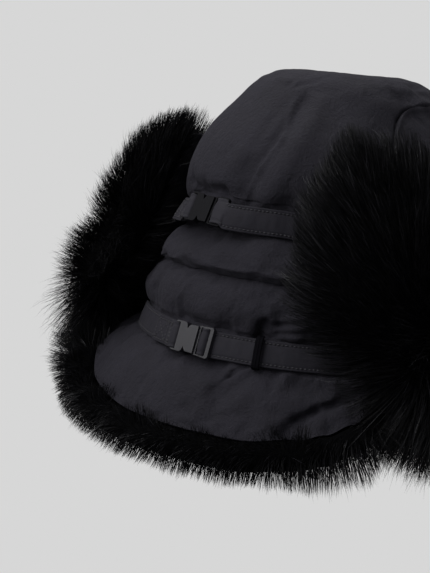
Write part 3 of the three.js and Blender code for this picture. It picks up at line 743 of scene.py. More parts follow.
def inflate(points, held, wrap, pressure, growth, cap):
    """Runs cloth on a coarse grid, held where held is 1, and returns how far each point moved: a shift of length
    s comes out as cap * tanh(s / cap) mm.

    The cloth is cut a little larger than its frame and blown outward, so that it buckles between its seams.
    """
    rows, columns = points.shape[:2]
    trial = Build("padding_trial").add(points, grid_quads(rows, columns, wrap)).make()
    group = trial.vertex_groups.new(name="held")
    levels = np.round(np.clip(held, 0, 1).ravel(), 1)
    for level in np.unique(levels[levels > 0]):
        group.add(np.flatnonzero(levels == level).tolist(), float(level), "REPLACE")
    cloth = trial.modifiers.new("cloth", "CLOTH")
    settings = cloth.settings
    settings.quality = 6
    settings.mass = 0.15
    settings.tension_stiffness = settings.compression_stiffness = 12
    settings.shear_stiffness = 4
    settings.bending_stiffness = 0.12
    settings.vertex_group_mass = "held"
    settings.pin_stiffness = 1.0
    settings.shrink_min = -growth
    settings.use_pressure = True
    settings.uniform_pressure_force = pressure
    settings.effector_weights.gravity = 0
    scene = bpy.context.scene
    for step in range(1, CLOTH_STEPS + 1):
        scene.frame_set(step)
    moved = trial.evaluated_get(bpy.context.evaluated_depsgraph_get()).data
    after = np.empty(rows * columns * 3, np.float32)
    moved.vertices.foreach_get("co", after)
    scene.frame_set(1)
    bpy.data.objects.remove(trial)
    shift = after.reshape(points.shape).astype(float) / MM - points
    size = np.linalg.norm(shift, axis=-1, keepdims=True)
    return shift * (cap * np.tanh(size / cap) / np.maximum(size, 1e-9))


def read_grid(grid, across, down, wrap):
    """A coarse grid's values at shares across and down it, by cubic spline weights of the sixteen nearest."""
    rows, columns = grid.shape[:2]
    x = np.asarray(across) * (columns if wrap else columns - 1)
    y = np.clip(down, 0, 1) * (rows - 1)
    x0, y0 = np.floor(x).astype(int), np.floor(y).astype(int)
    total = 0
    for j, row_weight in enumerate(spline_weights(y - y0)):
        row = np.clip(y0 + j - 1, 0, rows - 1)
        for i, column_weight in enumerate(spline_weights(x - x0)):
            column = (x0 + i - 1) % columns if wrap else np.clip(x0 + i - 1, 0, columns - 1)
            total = total + grid[row, column] * (row_weight * column_weight)[..., None]
    return total


def spline_weights(t):
    """Shares of four neighbours in a cubic B-spline, t of the way from the second to the third."""
    return (1 - t) ** 3 / 6, (3 * t**3 - 6 * t**2 + 4) / 6, (3 * t + 3 * t**2 - 3 * t**3 + 1) / 6, t**3 / 6


# Crown
def arch_share(angle):
    """How far up the section a side panel reaches at an angle: top * (1 - |t|^roundness), and 0 beyond it."""
    t = np.abs(np.abs(signed(angle)) - ARCH["angle"]) / ARCH["half_span"]
    return np.maximum(ARCH["top"] * (1 - t ** ARCH["roundness"]), 0)


def seam_line(side):
    """The arched seam of one side, as close-set points on the crown."""
    t = np.linspace(-1, 1, 400)
    angle = side * (ARCH["angle"] + t * ARCH["half_span"])
    return crown_point(angle, arch_share(angle))


SEAMS = [seam_line(1), seam_line(-1)]


def round_hat(columns):
    """Angles all round the crown, without the last, which is the first again."""
    return np.linspace(-180, 180, columns + 1)[:-1]


def crown_padding():
    """Shift of the crown's cloth on a coarse grid of share and angle, held at its seams, under the strap and at
    the middle of the top, where its points are spread a little so that none coincide."""
    share, angle = np.meshgrid(np.linspace(0, 1, 56), round_hat(132), indexing="ij")
    points = crown_point(angle, share)
    points[-1] += ring_point(1e-3, angle[-1])
    height = spline(CROWN["height"], share)
    held = np.exp(-((height / 3) ** 2)) + np.exp(-(((height - UPPER["height"]) / 8.5) ** 6))
    for line in SEAMS:
        distance, _ = near_line(points, line)
        held = np.maximum(held, np.exp(-((distance / 3.5) ** 2)))
    held = np.maximum(held, smoothstep(share, 0.94, 1.0))
    return inflate(points, held, True, 2.0, 0.045, 2.6)


CROWN_SHIFT = crown_padding()


def crown_surface(angle, share):
    """The crown's outside: section, cloth shift, seam grooves with gathers, and crinkles along its normal."""
    points = crown_point(angle, share)
    points = points + read_grid(CROWN_SHIFT, (signed(angle) + 180) / 360, share, True)
    height = spline(CROWN["height"], share)
    depth = fold_depth(signed(angle), height, CROWN_CREASES)
    for k, line in enumerate(SEAMS):
        distance, along = near_line(points, line)
        depth += 2.2 * np.exp(-((distance / 1.9) ** 2)) + 1.5 * puckers(distance, along, 9, 7, 11 + k)
    ring, strap = ring_point(MEAN_RADIUS, signed(angle)), UPPER["height"]
    depth += gathers(ring, np.abs(height), 8, 9, 0.7, 21)
    depth += gathers(ring, np.abs(height - UPPER_EDGES[0]), 6, 8, 0.6, 31) * (height < strap)
    depth += gathers(ring, np.abs(height - UPPER_EDGES[1]), 8, 11, 0.6, 41) * (height > strap)
    under_strap = np.exp(-(((height - strap) / 11) ** 8))
    away = 1 - smoothstep(share, 0.97, 1.0) * 0.7
    depth += (creases(points, 30, 3) * 0.7 + lattice_noise(points, 19, 9) * 0.35) * (1 - under_strap) * away
    depth += lattice_noise(points, 6, 10) * 0.07
    return points, depth


def gathers(ring, distance, reach, period, size, seed):
    """Gathers along a level seam: noise round the hat that stretches upward, fading with distance from it."""
    here = ring + np.stack([0 * distance, 0 * distance, distance * 0.3], -1)
    wave = lattice_noise(here, period, seed) + 0.5 * lattice_noise(here, period * 0.5, seed + 1)
    return size * wave * np.exp(-distance / reach)


def crown_panel(name, angle, share, wrap):
    """One panel of the crown: its outside pushed in along its normals, its inside smooth, closed all round. The
    one that wraps runs to a single point at the middle of the top, with fewer rows inside."""
    points, depth = crown_surface(angle, share)
    outer = points - grid_normals(points, wrap) * depth[..., None]
    inner_rows = 30 if wrap else share.shape[0]
    inner_share = blend(share[0], share[-1], np.linspace(0, 1, inner_rows)[:, None])
    inner = crown_point(np.broadcast_to(angle[0], inner_share.shape), inner_share, True)
    if wrap:
        outer[-1], inner[-1] = outer[-1].mean(0), inner[-1].mean(0)
    return closed_wall(name, outer, inner, wrap).make(NYLON, merge=WELD)


# Gap between the crown's panels as a share of the section, the span of a side panel's own arch, and its least top
SEAM_GAP, SIDE_SPAN, SIDE_LEAST = 0.0035, 0.997, 0.004


def crown():
    """The centre panel runs round and over the top above the arches, and a side panel fills each arch."""
    angle = round_hat(360)
    foot = arch_share(angle)
    foot = foot + SEAM_GAP * (foot > 0)
    share = blend(foot[None, :], 1.0, np.linspace(0, 1, 108)[:, None])
    centre = crown_panel("crown_centre", np.broadcast_to(angle, share.shape), share, True)
    enter_padded(centre, "crown_centre_panel")
    for side, word in SIDES:
        # From high angles to low ones on both sides, so that both panels face outward
        angle = side * ARCH["angle"] + np.linspace(1, -1, 90) * ARCH["half_span"] * SIDE_SPAN
        top = np.maximum(arch_share(angle), SIDE_LEAST)
        share = top[None, :] * np.linspace(0, 1, 74)[:, None]
        panel = crown_panel(f"crown_side_{word}", np.broadcast_to(angle, share.shape), share, False)
        enter_padded(panel, f"crown_side_panel_{word}")


crown()


# Neck flap
def neck_padding():
    """Shift of the neck flap's cloth, held at the seam, the strap and the hem."""
    share, angle = np.meshgrid(np.linspace(0, 1, 40), np.linspace(-NECK_SPAN, NECK_SPAN, 96), indexing="ij")
    points = neck_point(angle, share, 0)
    height = spline(NECK["height"], share)
    held = np.exp(-((height / 3) ** 2)) + np.exp(-(((height - LOWER["height"]) / 8.5) ** 6))
    held = held + smoothstep(height, 7 - NECK_EDGE, -NECK_EDGE)
    held = np.maximum(held, smoothstep(np.abs(angle), NECK_SPAN - 3, NECK_SPAN))
    return inflate(points[:, ::-1], held[:, ::-1], False, 2.0, 0.034, 3.5)[:, ::-1]


NECK_SHIFT = neck_padding()


def neck_flap():
    """A padded skirt: section, cloth shift, gathers below the seam and beside the strap, and slack creases toward
    its hem. Its top edge is tucked up into the crown, so that no light passes the seam."""
    share, angle = np.meshgrid(np.linspace(0, 1, 100), np.linspace(NECK_SPAN, -NECK_SPAN, 230), indexing="ij")
    points = neck_point(angle, share, 0)
    points = points + read_grid(NECK_SHIFT, (angle + NECK_SPAN) / (2 * NECK_SPAN), share, False)
    height = spline(NECK["height"], share)
    ring, strap = ring_point(130, angle), LOWER["height"]
    depth = fold_depth(angle, height, NECK_CREASES) + gathers(ring, np.abs(height), 8, 9, 0.8, 51)
    depth += gathers(ring, np.abs(height - LOWER_EDGES[1]), 7, 9, 0.9, 61) * (height > strap)
    depth += gathers(ring, np.abs(height - LOWER_EDGES[0]), 9, 12, 1.0, 71) * (height < strap)
    under_strap = np.exp(-(((height - strap) / 10) ** 8))
    depth += (creases(points, 28, 13) * 0.8 + lattice_noise(points, 20, 19) * 0.5) * (1 - under_strap)
    depth += lattice_noise(points, 6, 20) * 0.07
    edge = smoothstep(share, 1.0, 0.96) * smoothstep(np.abs(angle), NECK_SPAN, NECK_SPAN - 1.5)
    outer = points - grid_normals(points) * (depth * edge)[..., None]
    inner = neck_point(angle, share, by_share(NECK, "thickness", share))
    outer[0, :, 2] += SEAM_TUCK
    inner[0, :, 2] += SEAM_TUCK
    enter_padded(closed_wall("neck_flap_padded", outer, inner).make(NYLON, merge=WELD), "neck_flap")


neck_flap()


# Turned-up flaps
def edge_taper(u, least, power=5):
    """1 in the middle and least at both sides: the square root of 1 - |2u - 1|^power."""
    return np.maximum(least, np.sqrt(np.maximum(1 - np.abs(2 * u - 1) ** power, 0)))


def flap_sheet(rows, reach_rows, side, back, front, share, u, offset, curled=1.0):
    """Points of a flap at shares across and along it, between its own back and front angles. The left ear
    flap's back edge swings backward round one share of its length."""
    bell = np.exp(-(((share - LEFT_SWAY["share"]) / LEFT_SWAY["width"]) ** 2))
    sway = LEFT_SWAY["degrees"] * bell * (1 - u) if side < 0 and reach_rows else 0
    angle = blend(by_share(rows, back, share), by_share(rows, front, share), u) - sway
    curl = curled * (1 - smoothstep(u, 0, CURL["share"]))
    return flap_point(rows, reach_rows, side, angle, share, offset, curl)


def turned_flap(name, rows, reach_rows, side, node):
    """The nylon side of a turned-up flap: a padded sheet whose hat side is pressed toward its fur side by soft
    crinkles that fade at its edges."""
    last = (len(rows["stand"]) - 2) / (len(rows["stand"]) - 1)
    share, u = np.meshgrid(np.linspace(0, last, 70), np.linspace(0, 1, 60), indexing="ij")
    half = by_share(rows, "thickness", share) / 2 * edge_taper(u, 0.5)
    fur_side = flap_sheet(rows, reach_rows, side, "back", "front", share, u, half)
    hat_side = flap_sheet(rows, reach_rows, side, "back", "front", share, u, -half)
    depth = creases(hat_side, 24, 23) * 1.4 + lattice_noise(hat_side, 14, 29) * 0.7
    fade = edge_taper(u, 0) * smoothstep(share, 0, 0.05) * smoothstep(share, last, last - 0.03)
    hat_side = hat_side + unit(fur_side - hat_side) * (depth * fade)[..., None]
    hat_side[0, :, 2] += SEAM_TUCK
    fur_side[0, :, 2] += SEAM_TUCK
    piece = closed_wall(name, fur_side, hat_side).make(NYLON, merge=WELD)
    face_outward(piece)
    enter_padded(piece, node)


def face_outward(piece):
    """Turns a closed mesh the right way round if its signed volume is negative."""
    mesh = piece.data
    mesh.calc_loop_triangles()
    corners = np.empty(len(mesh.loop_triangles) * 3, np.int32)
    mesh.loop_triangles.foreach_get("vertices", corners)
    points = np.empty(len(mesh.vertices) * 3, np.float32)
    mesh.vertices.foreach_get("co", points)
    if signed_volume(points.reshape(-1, 3).astype(float), corners.reshape(-1, 3)) < 0:
        mesh.flip_normals()


for side, word in SIDES:
    turned_flap(f"ear_flap_padded_{word}", EAR, EAR_REACH, side, f"ear_flap_{word}")
turned_flap("brow_flap_padded", BROW, None, 1, "brow_flap")


# Fur
# Share of guard hairs, how much longer they are, and how little they are drawn to their tuft
GUARD_SHARE, GUARD_LENGTH, GUARD_PULL = 0.11, 1.16, 0.2
# How deep hairs are rooted, and the least length that one is cut to
ROOT_DEPTH, STUBBLE = 1.5, 2.0
# Hair is cut short where it would reach past the part's own box by more than this
FUR_MARGIN = np.array([18.0, 16.0, 14.0])
FUR_LIMIT = np.array(cad_box) / MM + np.stack([-FUR_MARGIN, FUR_MARGIN])


def scatter(points, triangles, count, rng):
    """Random places on a mesh, even by area, with the mesh's own normals there."""
    a, b, c = (points[triangles[:, k]] for k in range(3))
    cross = np.cross(b - a, c - a)
    area = np.linalg.norm(cross, axis=1)
    vertex_normals = np.zeros_like(points)
    for k in range(3):
        np.add.at(vertex_normals, triangles[:, k], cross)
    vertex_normals = unit(vertex_normals)
    places = (np.arange(count) + rng.random(count)) / count * area.sum()
    chosen = np.searchsorted(np.cumsum(area), places).clip(0, len(area) - 1)
    root, second = np.sqrt(rng.random(count)), rng.random(count)
    weights = np.stack([1 - root, root * (1 - second), root * second], 1)
    corners = triangles[chosen]
    at = (points[corners] * weights[..., None]).sum(1)
    normal = unit((vertex_normals[corners] * weights[..., None]).sum(1))
    return at, normal


def hair_blades(roots, tips, bends, widths, rng):
    """Tapered blades of five triangles: a curve root + t(tip - root) + 4t(1 - t) bend, widest at its root."""
    t = np.array([0.0, 0.38, 0.74, 1.0])[None, :, None]
    line = roots[:, None] * (1 - t) + tips[:, None] * t + 4 * t * (1 - t) * bends[:, None]
    across = unit(np.cross(tips - roots, rng.normal(size=roots.shape)))[:, None] * widths[:, None, None]
    share = np.array([1.0, 0.85, 0.55])[None, :, None]
    left, right = line[:, :3] - across * share / 2, line[:, :3] + across * share / 2
    points = np.concatenate([left, right, line[:, 3:]], 1)
    blade = np.array([[0, 3, 4], [0, 4, 1], [1, 4, 5], [1, 5, 2], [2, 5, 6]])
    faces = blade[None] + (np.arange(len(roots)) * 7)[:, None, None]
    return points.reshape(-1, 3), faces.reshape(-1, 3)


def fur_piece(name, node, body, triangles, exposed, comb, length, count, seed, tuft=6.5):
    """Hair on the exposed faces of a fur body: each leans between the normal and its combing, and its tip is
    drawn toward the middle of the tips of its tuft. Some are longer guard hairs, painted paler as highlight
    streaks on the fur."""
    rng = np.random.default_rng(seed)
    at, normal = scatter(body, triangles[exposed], count, rng)
    guard = rng.random(count) < GUARD_SHARE
    lean, rise, reach = comb(at, normal)
    wander = np.stack([lattice_noise(at, 22, seed + k) for k in (1, 2, 3)], -1)
    wander += 0.7 * np.stack([lattice_noise(at, 8, seed + k) for k in (4, 5, 6)], -1)
    direction = unit(normal * rise[:, None] + lean + wander * 0.33 + rng.normal(size=at.shape) * 0.13)
    long = length * reach * (0.72 + 0.34 * rng.random(count) + 0.14 * lattice_noise(at, 15, seed + 8))
    long = long * np.where(guard, GUARD_LENGTH, 1.0)
    room = np.where(direction > 0, FUR_LIMIT[1] - at, at - FUR_LIMIT[0]) / np.maximum(abs(direction), 1e-6)
    room = np.maximum(room.min(1), STUBBLE) * (0.75 + 0.25 * rng.random(count))
    tips = at + direction * np.minimum(long, room)[:, None]
    cell = np.floor(at / tuft + 0.35 * wander).astype(np.int64)
    _, which = np.unique(cell_key(*cell.T), return_inverse=True)
    members = np.bincount(which)[:, None]
    middle = np.stack([np.bincount(which, tips[:, k]) for k in range(3)], 1) / members
    pull = (0.5 * rng.random(count) ** 0.8 * np.where(guard, GUARD_PULL, 1.0))[:, None]
    tips = tips + (middle[which] - tips) * pull
    bend = normal * long[:, None] * 0.09 + rng.normal(size=at.shape) * long[:, None] * 0.03
    widths = np.where(guard, 0.3, 0.24 + 0.22 * rng.random(count))
    build = Build(name).add(body, triangles, 1)
    for finish, chosen in ((0, ~guard), (2, guard)):
        roots = (at - normal * ROOT_DEPTH)[chosen]
        build.add(*hair_blades(roots, tips[chosen], bend[chosen], widths[chosen], rng), finish)
    enter(build.make(HAIR, UNDERFUR, GLINT_PAINTED_GUARD_HAIR), node)


def flap_fur(name, node, rows, reach_rows, side, comb, look, count, seed):
    """Underfur at a share of the pile's thickness on a turned-up flap, drawn in from its edges, and hair on it.
    The backing is bare but for a strip along its back edge, where the flap curls to the crown."""
    total, steps = len(rows["stand"]) - 1, 46
    v, u = np.meshgrid(np.linspace(0, 1, steps), np.linspace(0, 1, steps), indexing="ij")
    top = look["top"] - look["front_drop"] * smoothstep(u, 0.3, 0.75)
    share = blend(1 / total, top, v)
    backing = by_share(rows, "thickness", share) / 2 + FUR_GAP
    pile = by_share(rows, "pile", share) * edge_taper(u, look["thin"], 4) * edge_taper(v, 0.15, 8)
    full = blend(look["fold_full"], look["full"], smoothstep(share, 0.42, 0.62))
    width = blend(look["width"], look["top_width"], smoothstep(share, 0.6, 0.95))
    inset = 0.5 + (u - 0.5) * width
    inset = inset - look["swing"] * np.exp(-(((share - 0.5) / 0.1) ** 2)) * (1 - u)
    spread = ("fur_back", "fur_front", share, inset)
    front = flap_sheet(rows, reach_rows, side, *spread, backing + full * pile, CURL["outside"])
    back = flap_sheet(rows, reach_rows, side, *spread, backing)
    build = closed_wall("underfur_shape", front, back)
    points = np.concatenate(build.points)
    quads = np.concatenate(build.corners).reshape(-1, 4)
    triangles = outward_body(points, triangulated(quads))
    cells = (steps - 1) ** 2
    bare = np.zeros(len(quads), bool)
    bare[cells:2 * cells] = np.arange(cells) % (steps - 1) / steps > look["bare_from"]
    fur_piece(name, node, points, triangles, ~np.tile(bare, 2), comb, look["length"], count, seed)


def ear_comb(side, look):
    """Hair fans out from the middle of the flap's outward face, swept upward a little above its fold and hanging
    long under it. It is cut or lengthened toward the back edge, on the left flap only above the fold."""

    def comb(at, normal):
        away = at - oval_point(side * 78.0, 80.0, -8.0)
        away = away - normal * (away * normal).sum(1, keepdims=True)
        far = np.linalg.norm(away, axis=1)
        low = smoothstep(at[:, 2], -25, -60)
        lean = unit(away) * smoothstep(far, 0, 30)[:, None] * 0.95
        lean = lean + np.array([0, 0, 1]) * blend(0.35, -0.3, low)[:, None]
        rise = blend(0.95, 0.5, smoothstep(far, 25, 90))
        reach = blend(1.0, 0.9, smoothstep(far, 50, 110)) * blend(1.0, 0.72, smoothstep(at[:, 2], 40, 85))
        edge = smoothstep(away[:, 1], *look["edge"]) * (1 - low * (side < 0))
        return lean, rise, reach * blend(1.0, look["edge_reach"], edge) * blend(1.0, look["hang"], low)

    return comb


def brow_comb(at, normal):
    """Hair swept up and outward from the middle of the brow."""
    x = at[:, 0]
    lean = np.stack([np.sign(x) * smoothstep(np.abs(x), 0, 90) * 0.7, 0 * x, 0.6 + 0 * x], -1)
    return lean, np.full(len(at), 0.8), np.ones(len(at))


# Underfur: its width low and high, its top and how far that drops to the front, its share of the pile above the
# fold and at it, its least thickness, the back edge's swing and from where its backing is bare. Hair: its length,
# where it changes toward the back edge, to what share, and how much longer it hangs
RIGHT_LOOK = {
    "width": 0.86, "top_width": 0.76, "top": 0.97, "front_drop": 0.22, "full": 0.45, "fold_full": 1.05,
    "thin": 0.2, "swing": 0.0, "bare_from": 0.0,
    "length": 30, "edge": (30, 62), "edge_reach": 0.22, "hang": 1.4,
}
LEFT_LOOK = {
    "width": 0.96, "top_width": 0.92, "top": 0.92, "front_drop": 0.05, "full": 0.75, "fold_full": 1.2,
    "thin": 0.45, "swing": 0.12, "bare_from": 0.2,
    "length": 31, "edge": (45, 85), "edge_reach": 1.15, "hang": 1.75,
}
BROW_LOOK = {
    "width": 0.9, "top_width": 0.85, "top": 0.96, "front_drop": 0.0, "full": 0.5, "fold_full": 0.5,
    "thin": 0.12, "swing": 0.0, "bare_from": 0.0,
    "length": 26,
}
flap_fur("fur_right_ear", "fur_ear_right", EAR, EAR_REACH, 1, ear_comb(1, RIGHT_LOOK), RIGHT_LOOK, 33500, 101)
flap_fur("fur_left_ear", "fur_ear_left", EAR, EAR_REACH, -1, ear_comb(-1, LEFT_LOOK), LEFT_LOOK, 32000, 99)
flap_fur("fur_over_brow", "fur_brow", BROW, None, 1, brow_comb, BROW_LOOK, 12000, 120)


def outward_from_hat(at):
    """Level unit vectors from the hat's middle line out through the points."""
    return unit(at * np.array([1, 1, 0]))


# How much of the roll round the hem its underfur fills, at each point of the roll's outline
ROLL_DRAW = (1, 1, 0.74, 0.76, 0.78, 0.78, 0.78, 0.8, 1)


def trim_section(angle):
    """The fur behind the neck flap and round its hem, as in the part, with its roll drawn in for the underfur."""
    rows = len(NECK["stand"]) - 1
    shares = (np.arange(rows - 1) + 1) / rows
    thickness = by_share(NECK, "thickness", shares)
    outline = [neck_point(angle, shares[k], thickness[k] + FUR_GAP) for k in range(len(shares))]
    hem = neck_point(angle, np.array(1.0), np.array(0.0))
    outward = outward_from_hat(oval_point(angle, np.array(60.0), 0) - oval_point(angle, np.array(50.0), 0))
    full = by_angle(NECK_HEM, "roll", angle)[:, None]
    for out, up, draw in zip(HEM_ROLL["out"], HEM_ROLL["up"], ROLL_DRAW):
        outline.append(hem + full * draw * (outward * out + np.array([0, 0, up])))
    for k in range(len(shares) - 1, -1, -2):
        outline.append(neck_point(angle, shares[k], thickness[k] + FUR_GAP + 4 + 10 * shares[k]))
    return np.stack(outline, -2)


def trim_comb(at, normal):
    """Hair leaves the hem outward and downward, wanders along it, and is shorter inside and along its top, where
    stray tufts stand up over the hem. Its left end is long and sweeps up, and its right end hangs long."""
    turn = np.arctan2(-at[:, 0], at[:, 1])
    along = np.stack([-np.cos(turn), -np.sin(turn), 0 * turn], -1)
    outward = outward_from_hat(at)
    sweep = lattice_noise(at, 45, 131)[:, None] * 0.6
    left = smoothstep(np.degrees(turn), -32, -50)
    right = smoothstep(np.degrees(turn), 34, 56)
    lean = along * (sweep - 0.3 * left[:, None]) + outward * (0.45 + 0.4 * left[:, None])
    lean = lean + np.array([0, 0, 1.0]) * (-0.45 + 0.7 * left - 0.5 * right)[:, None]
    inside = (normal * outward).sum(1) < -0.2
    top = smoothstep(normal[:, 2], 0.1, 0.7)
    stray = np.maximum(lattice_noise(at, 14, 133), 0) * top
    lean = lean + (np.array([0, 0, 1.8]) - outward * 0.9) * stray[:, None]
    reach = np.where(inside, 0.75, 1.0 - 0.35 * top + 0.6 * stray) * (1 + 1.4 * left + 0.8 * right)
    return lean, blend(0.8, 0.45, top), reach


def neck_trim():
    """Underfur carried round the hem from end to end, closed by flat ends, with hair on all of it but where it
    backs the flap: every triangle that starts at one of the first points of its ring."""
    rings = trim_section(np.linspace(-NECK_SPAN, NECK_SPAN, 90))
    points, triangles = closed_tube(rings)
    count, facing_flap = rings.shape[1], len(NECK["stand"]) - 3
    in_caps = np.arange(len(triangles)) >= len(triangles) - 2 * count
    exposed = in_caps | (triangles.min(1) % count >= facing_flap)
    fur_piece("fur_round_hem", "fur_neck_trim", points, triangles, exposed, trim_comb, 12.5, 34000, 140, 3.4)


neck_trim()


# Straps
# Distance of a stitch row from the strap's edge, and the length and pitch of its stitches
STITCH_INSET, STITCH_LENGTH, STITCH_PITCH = 2.1, 2.2, 2.8


def strap_lie(strap, angle):
    """Stand-off and outward lean of a strap: the lower one is even, the upper one follows its table."""
    if strap is LOWER:
        return strap["stand_off"] + 0 * angle, LOWER_SLOPE + 0 * angle
    return strap["stand_off"] + by_angle(LEVELS, "out", angle), by_angle(LEVELS, "lean", angle)


def basis(strap, angle):
    """Along, across and outward directions of a strap at an angle, as the part lays it."""
    height = strap["height"] + level_shift(angle, strap["height"])
    stand, lean = strap_lie(strap, angle)
    along = unit(oval_point(angle + 1, stand, height) - oval_point(angle - 1, stand, height))
    level = np.stack([-along[..., 1], along[..., 0], 0 * along[..., 0]], -1)
    centre = oval_point(angle, stand, height)
    level = level * np.sign((level * centre).sum(-1, keepdims=True))
    outward = unit(level + np.array([0, 0, 1.0]) * np.asarray(lean)[..., None])
    return along, unit(np.cross(outward, along)), outward


def on_hat(strap, angles, lift):
    """Middle line of a strap laid on the hat, lifted by some mm."""
    height = strap["height"] + level_shift(angles, strap["height"])
    stand, _ = strap_lie(strap, angles)
    return oval_point(angles, stand + STRAP_CLEARANCE + STRAP_THICKNESS / 2 + lift, height)


def buckle_place(strap):
    """Centre and directions of a buckle, as the part turns it."""
    angle = np.array(strap["buckle"], float)
    height = strap["height"] + level_shift(angle, strap["height"])
    stand, lean = strap_lie(strap, angle)
    centre = oval_point(angle, stand + strap["lift"], height)
    along, _, _ = basis(strap, angle)
    cos, sin = np.cos(np.radians(strap["turn"])), np.sin(np.radians(strap["turn"]))
    along = np.array([along[0] * cos - along[1] * sin, along[0] * sin + along[1] * cos, along[2]])
    level = np.array([along[1], -along[0], 0.0])
    outward = unit(level * np.sign(level @ centre) + np.array([0, 0, lean]))
    return centre, along, np.cross(outward, along), outward


def read_line(at, run, vectors):
    """Vectors given at runs along a line, read at other runs in straight lines between them."""
    return np.stack([np.interp(at, run, vectors[:, k]) for k in range(3)], -1)


def band(points, across, width, thickness, ripple, seed, drawn_in=0.42):
    """A strap's rounded-rectangle profile carried along a line, its faces drawn in along the stitch rows."""
    run = run_along(points)
    s = np.linspace(0, run[-1], max(int(run[-1] / 0.8), 8))
    line, side = read_line(s, run, points), unit(read_line(s, run, across))
    for _ in range(3):
        line[1:-1] = (line[:-2] + 2 * line[1:-1] + line[2:]) / 4
    along = unit(np.gradient(line, axis=0))
    out = unit(np.cross(along, side))
    top = np.linspace(-1, 1, 21)
    half, thick = width / 2 - thickness * 0.35, thickness / 2
    turn = np.linspace(-np.pi / 2, np.pi / 2, 7)[1:-1]
    edge = half + 0.35 * thickness * np.cos(turn)
    x = np.concatenate([top * half, edge[::-1], top[::-1] * half, -edge])
    z = np.concatenate([thick + 0 * top, thick * np.sin(turn[::-1]), -thick + 0 * top, thick * np.sin(turn)])
    row = width / 2 - STITCH_INSET
    stitched = np.exp(-(((np.abs(x) - row) / 0.55) ** 2)) * np.sign(z)
    bulge = 0.28 * np.cos(np.clip(x / row, -1, 1) * np.pi / 2) * np.sign(z)
    wave = lattice_noise(np.stack([s, 0 * s + seed, 0 * s], -1), 9, seed)[:, None]
    spots = np.stack(np.broadcast_arrays(s[:, None], x[None] * 0.8, 0 * x[None]), -1)
    tiny = lattice_noise(spots, 3.2, seed + 1)
    height = z[None] + bulge[None] - drawn_in * stitched[None] + (wave * 0.3 + tiny * 0.16) * ripple
    rings = line[:, None] + side[:, None] * x[None, :, None] + out[:, None] * height[..., None]
    return rings, (s, line, side, out)


def stitches(build, starts, ends, out):
    """Short fat threads, each a six-sided spindle from a start to an end, sunk at both and proud in between."""
    t = np.array([0.0, 0.16, 0.5, 0.84, 1.0])
    girth = np.array([0.1, 0.3, 0.36, 0.3, 0.1])
    rise = np.array([-0.25, 0.1, 0.2, 0.1, -0.25])
    along = unit(ends - starts)
    side = np.cross(out, along)
    turn = np.arange(6) * np.pi / 3
    share = t[None, :, None]
    line = starts[:, None] * (1 - share) + ends[:, None] * share + out[:, None] * rise[None, :, None]
    cos, sin = np.cos(turn)[None, None, :, None], np.sin(turn)[None, None, :, None]
    ring = (side[:, None, None] * cos + out[:, None, None] * sin) * girth[None, :, None, None]
    points = line[:, :, None] + ring
    faces = grid_quads(5, 6, True)[None] + (np.arange(len(starts)) * 30)[:, None, None]
    build.add(points, faces.reshape(-1, 4), 1)


def stitched_lines(build, band_line, lines, face=1):
    """Stitches along straight lines drawn on one face of a band as (run, offset) pairs."""
    s, line, side, out = band_line
    lift = face * (STRAP_THICKNESS / 2 + 0.02)

    def at(run, offset):
        on_line = read_line(run, s, line) + read_line(run, s, side) * offset[:, None]
        return on_line + read_line(run, s, out) * lift

    for (s0, y0), (s1, y1) in lines:
        total = np.hypot(s1 - s0, y1 - y0)
        first = np.arange(0.3, total - STITCH_LENGTH + 0.6, STITCH_PITCH)
        begin, middle, end = (np.clip((first + STITCH_LENGTH * k) / total, 0, 1) for k in (0, 0.5, 1))
        starts, ends = (at(blend(s0, s1, share), blend(y0, y1, share)) for share in (begin, end))
        stitches(build, starts, ends, unit(read_line(blend(s0, s1, middle), s, out)) * face)


# Middle line of the webbing where it threads each half of a buckle: run and height in the buckle's own frame
WEAVE = table("run rise", [
    (0.6, -0.3), (2.0, 0.1), (3.3, 1.4), (3.7, 3.4), (4.6, 5.1), (6.5, 5.7), (8.4, 5.1), (9.3, 3.4), (9.7, 1.4),
    (11, 0.3), (13.2, -0.1), (16, -0.3),
])
COVER = table("run rise", [(5.5, 0.2), (3.9, 1.4), (3.6, 3.4), (4.4, 5.1), (6.5, 5.6), (10, 5.6), (13.4, 5.2)])
FOLD = table("run rise", [
    (-22.3, 3.2), (-20.8, 4.6), (-19.2, 5.0), (-17.2, 5.0), (-15.8, 4.2), (-15.5, 2.8), (-16.2, 1.2),
    (-18.5, 0.2), (-21, -0.4),
])
# How far along its strap the webbing is back on the hat ahead of the buckle and behind it, and where the tab's
# outer layer ends
WEAVE_LANDING, COVER_LANDING, FOLD_LANDING, TAB_END = 10.0, 42.0, 30.0, 47.0


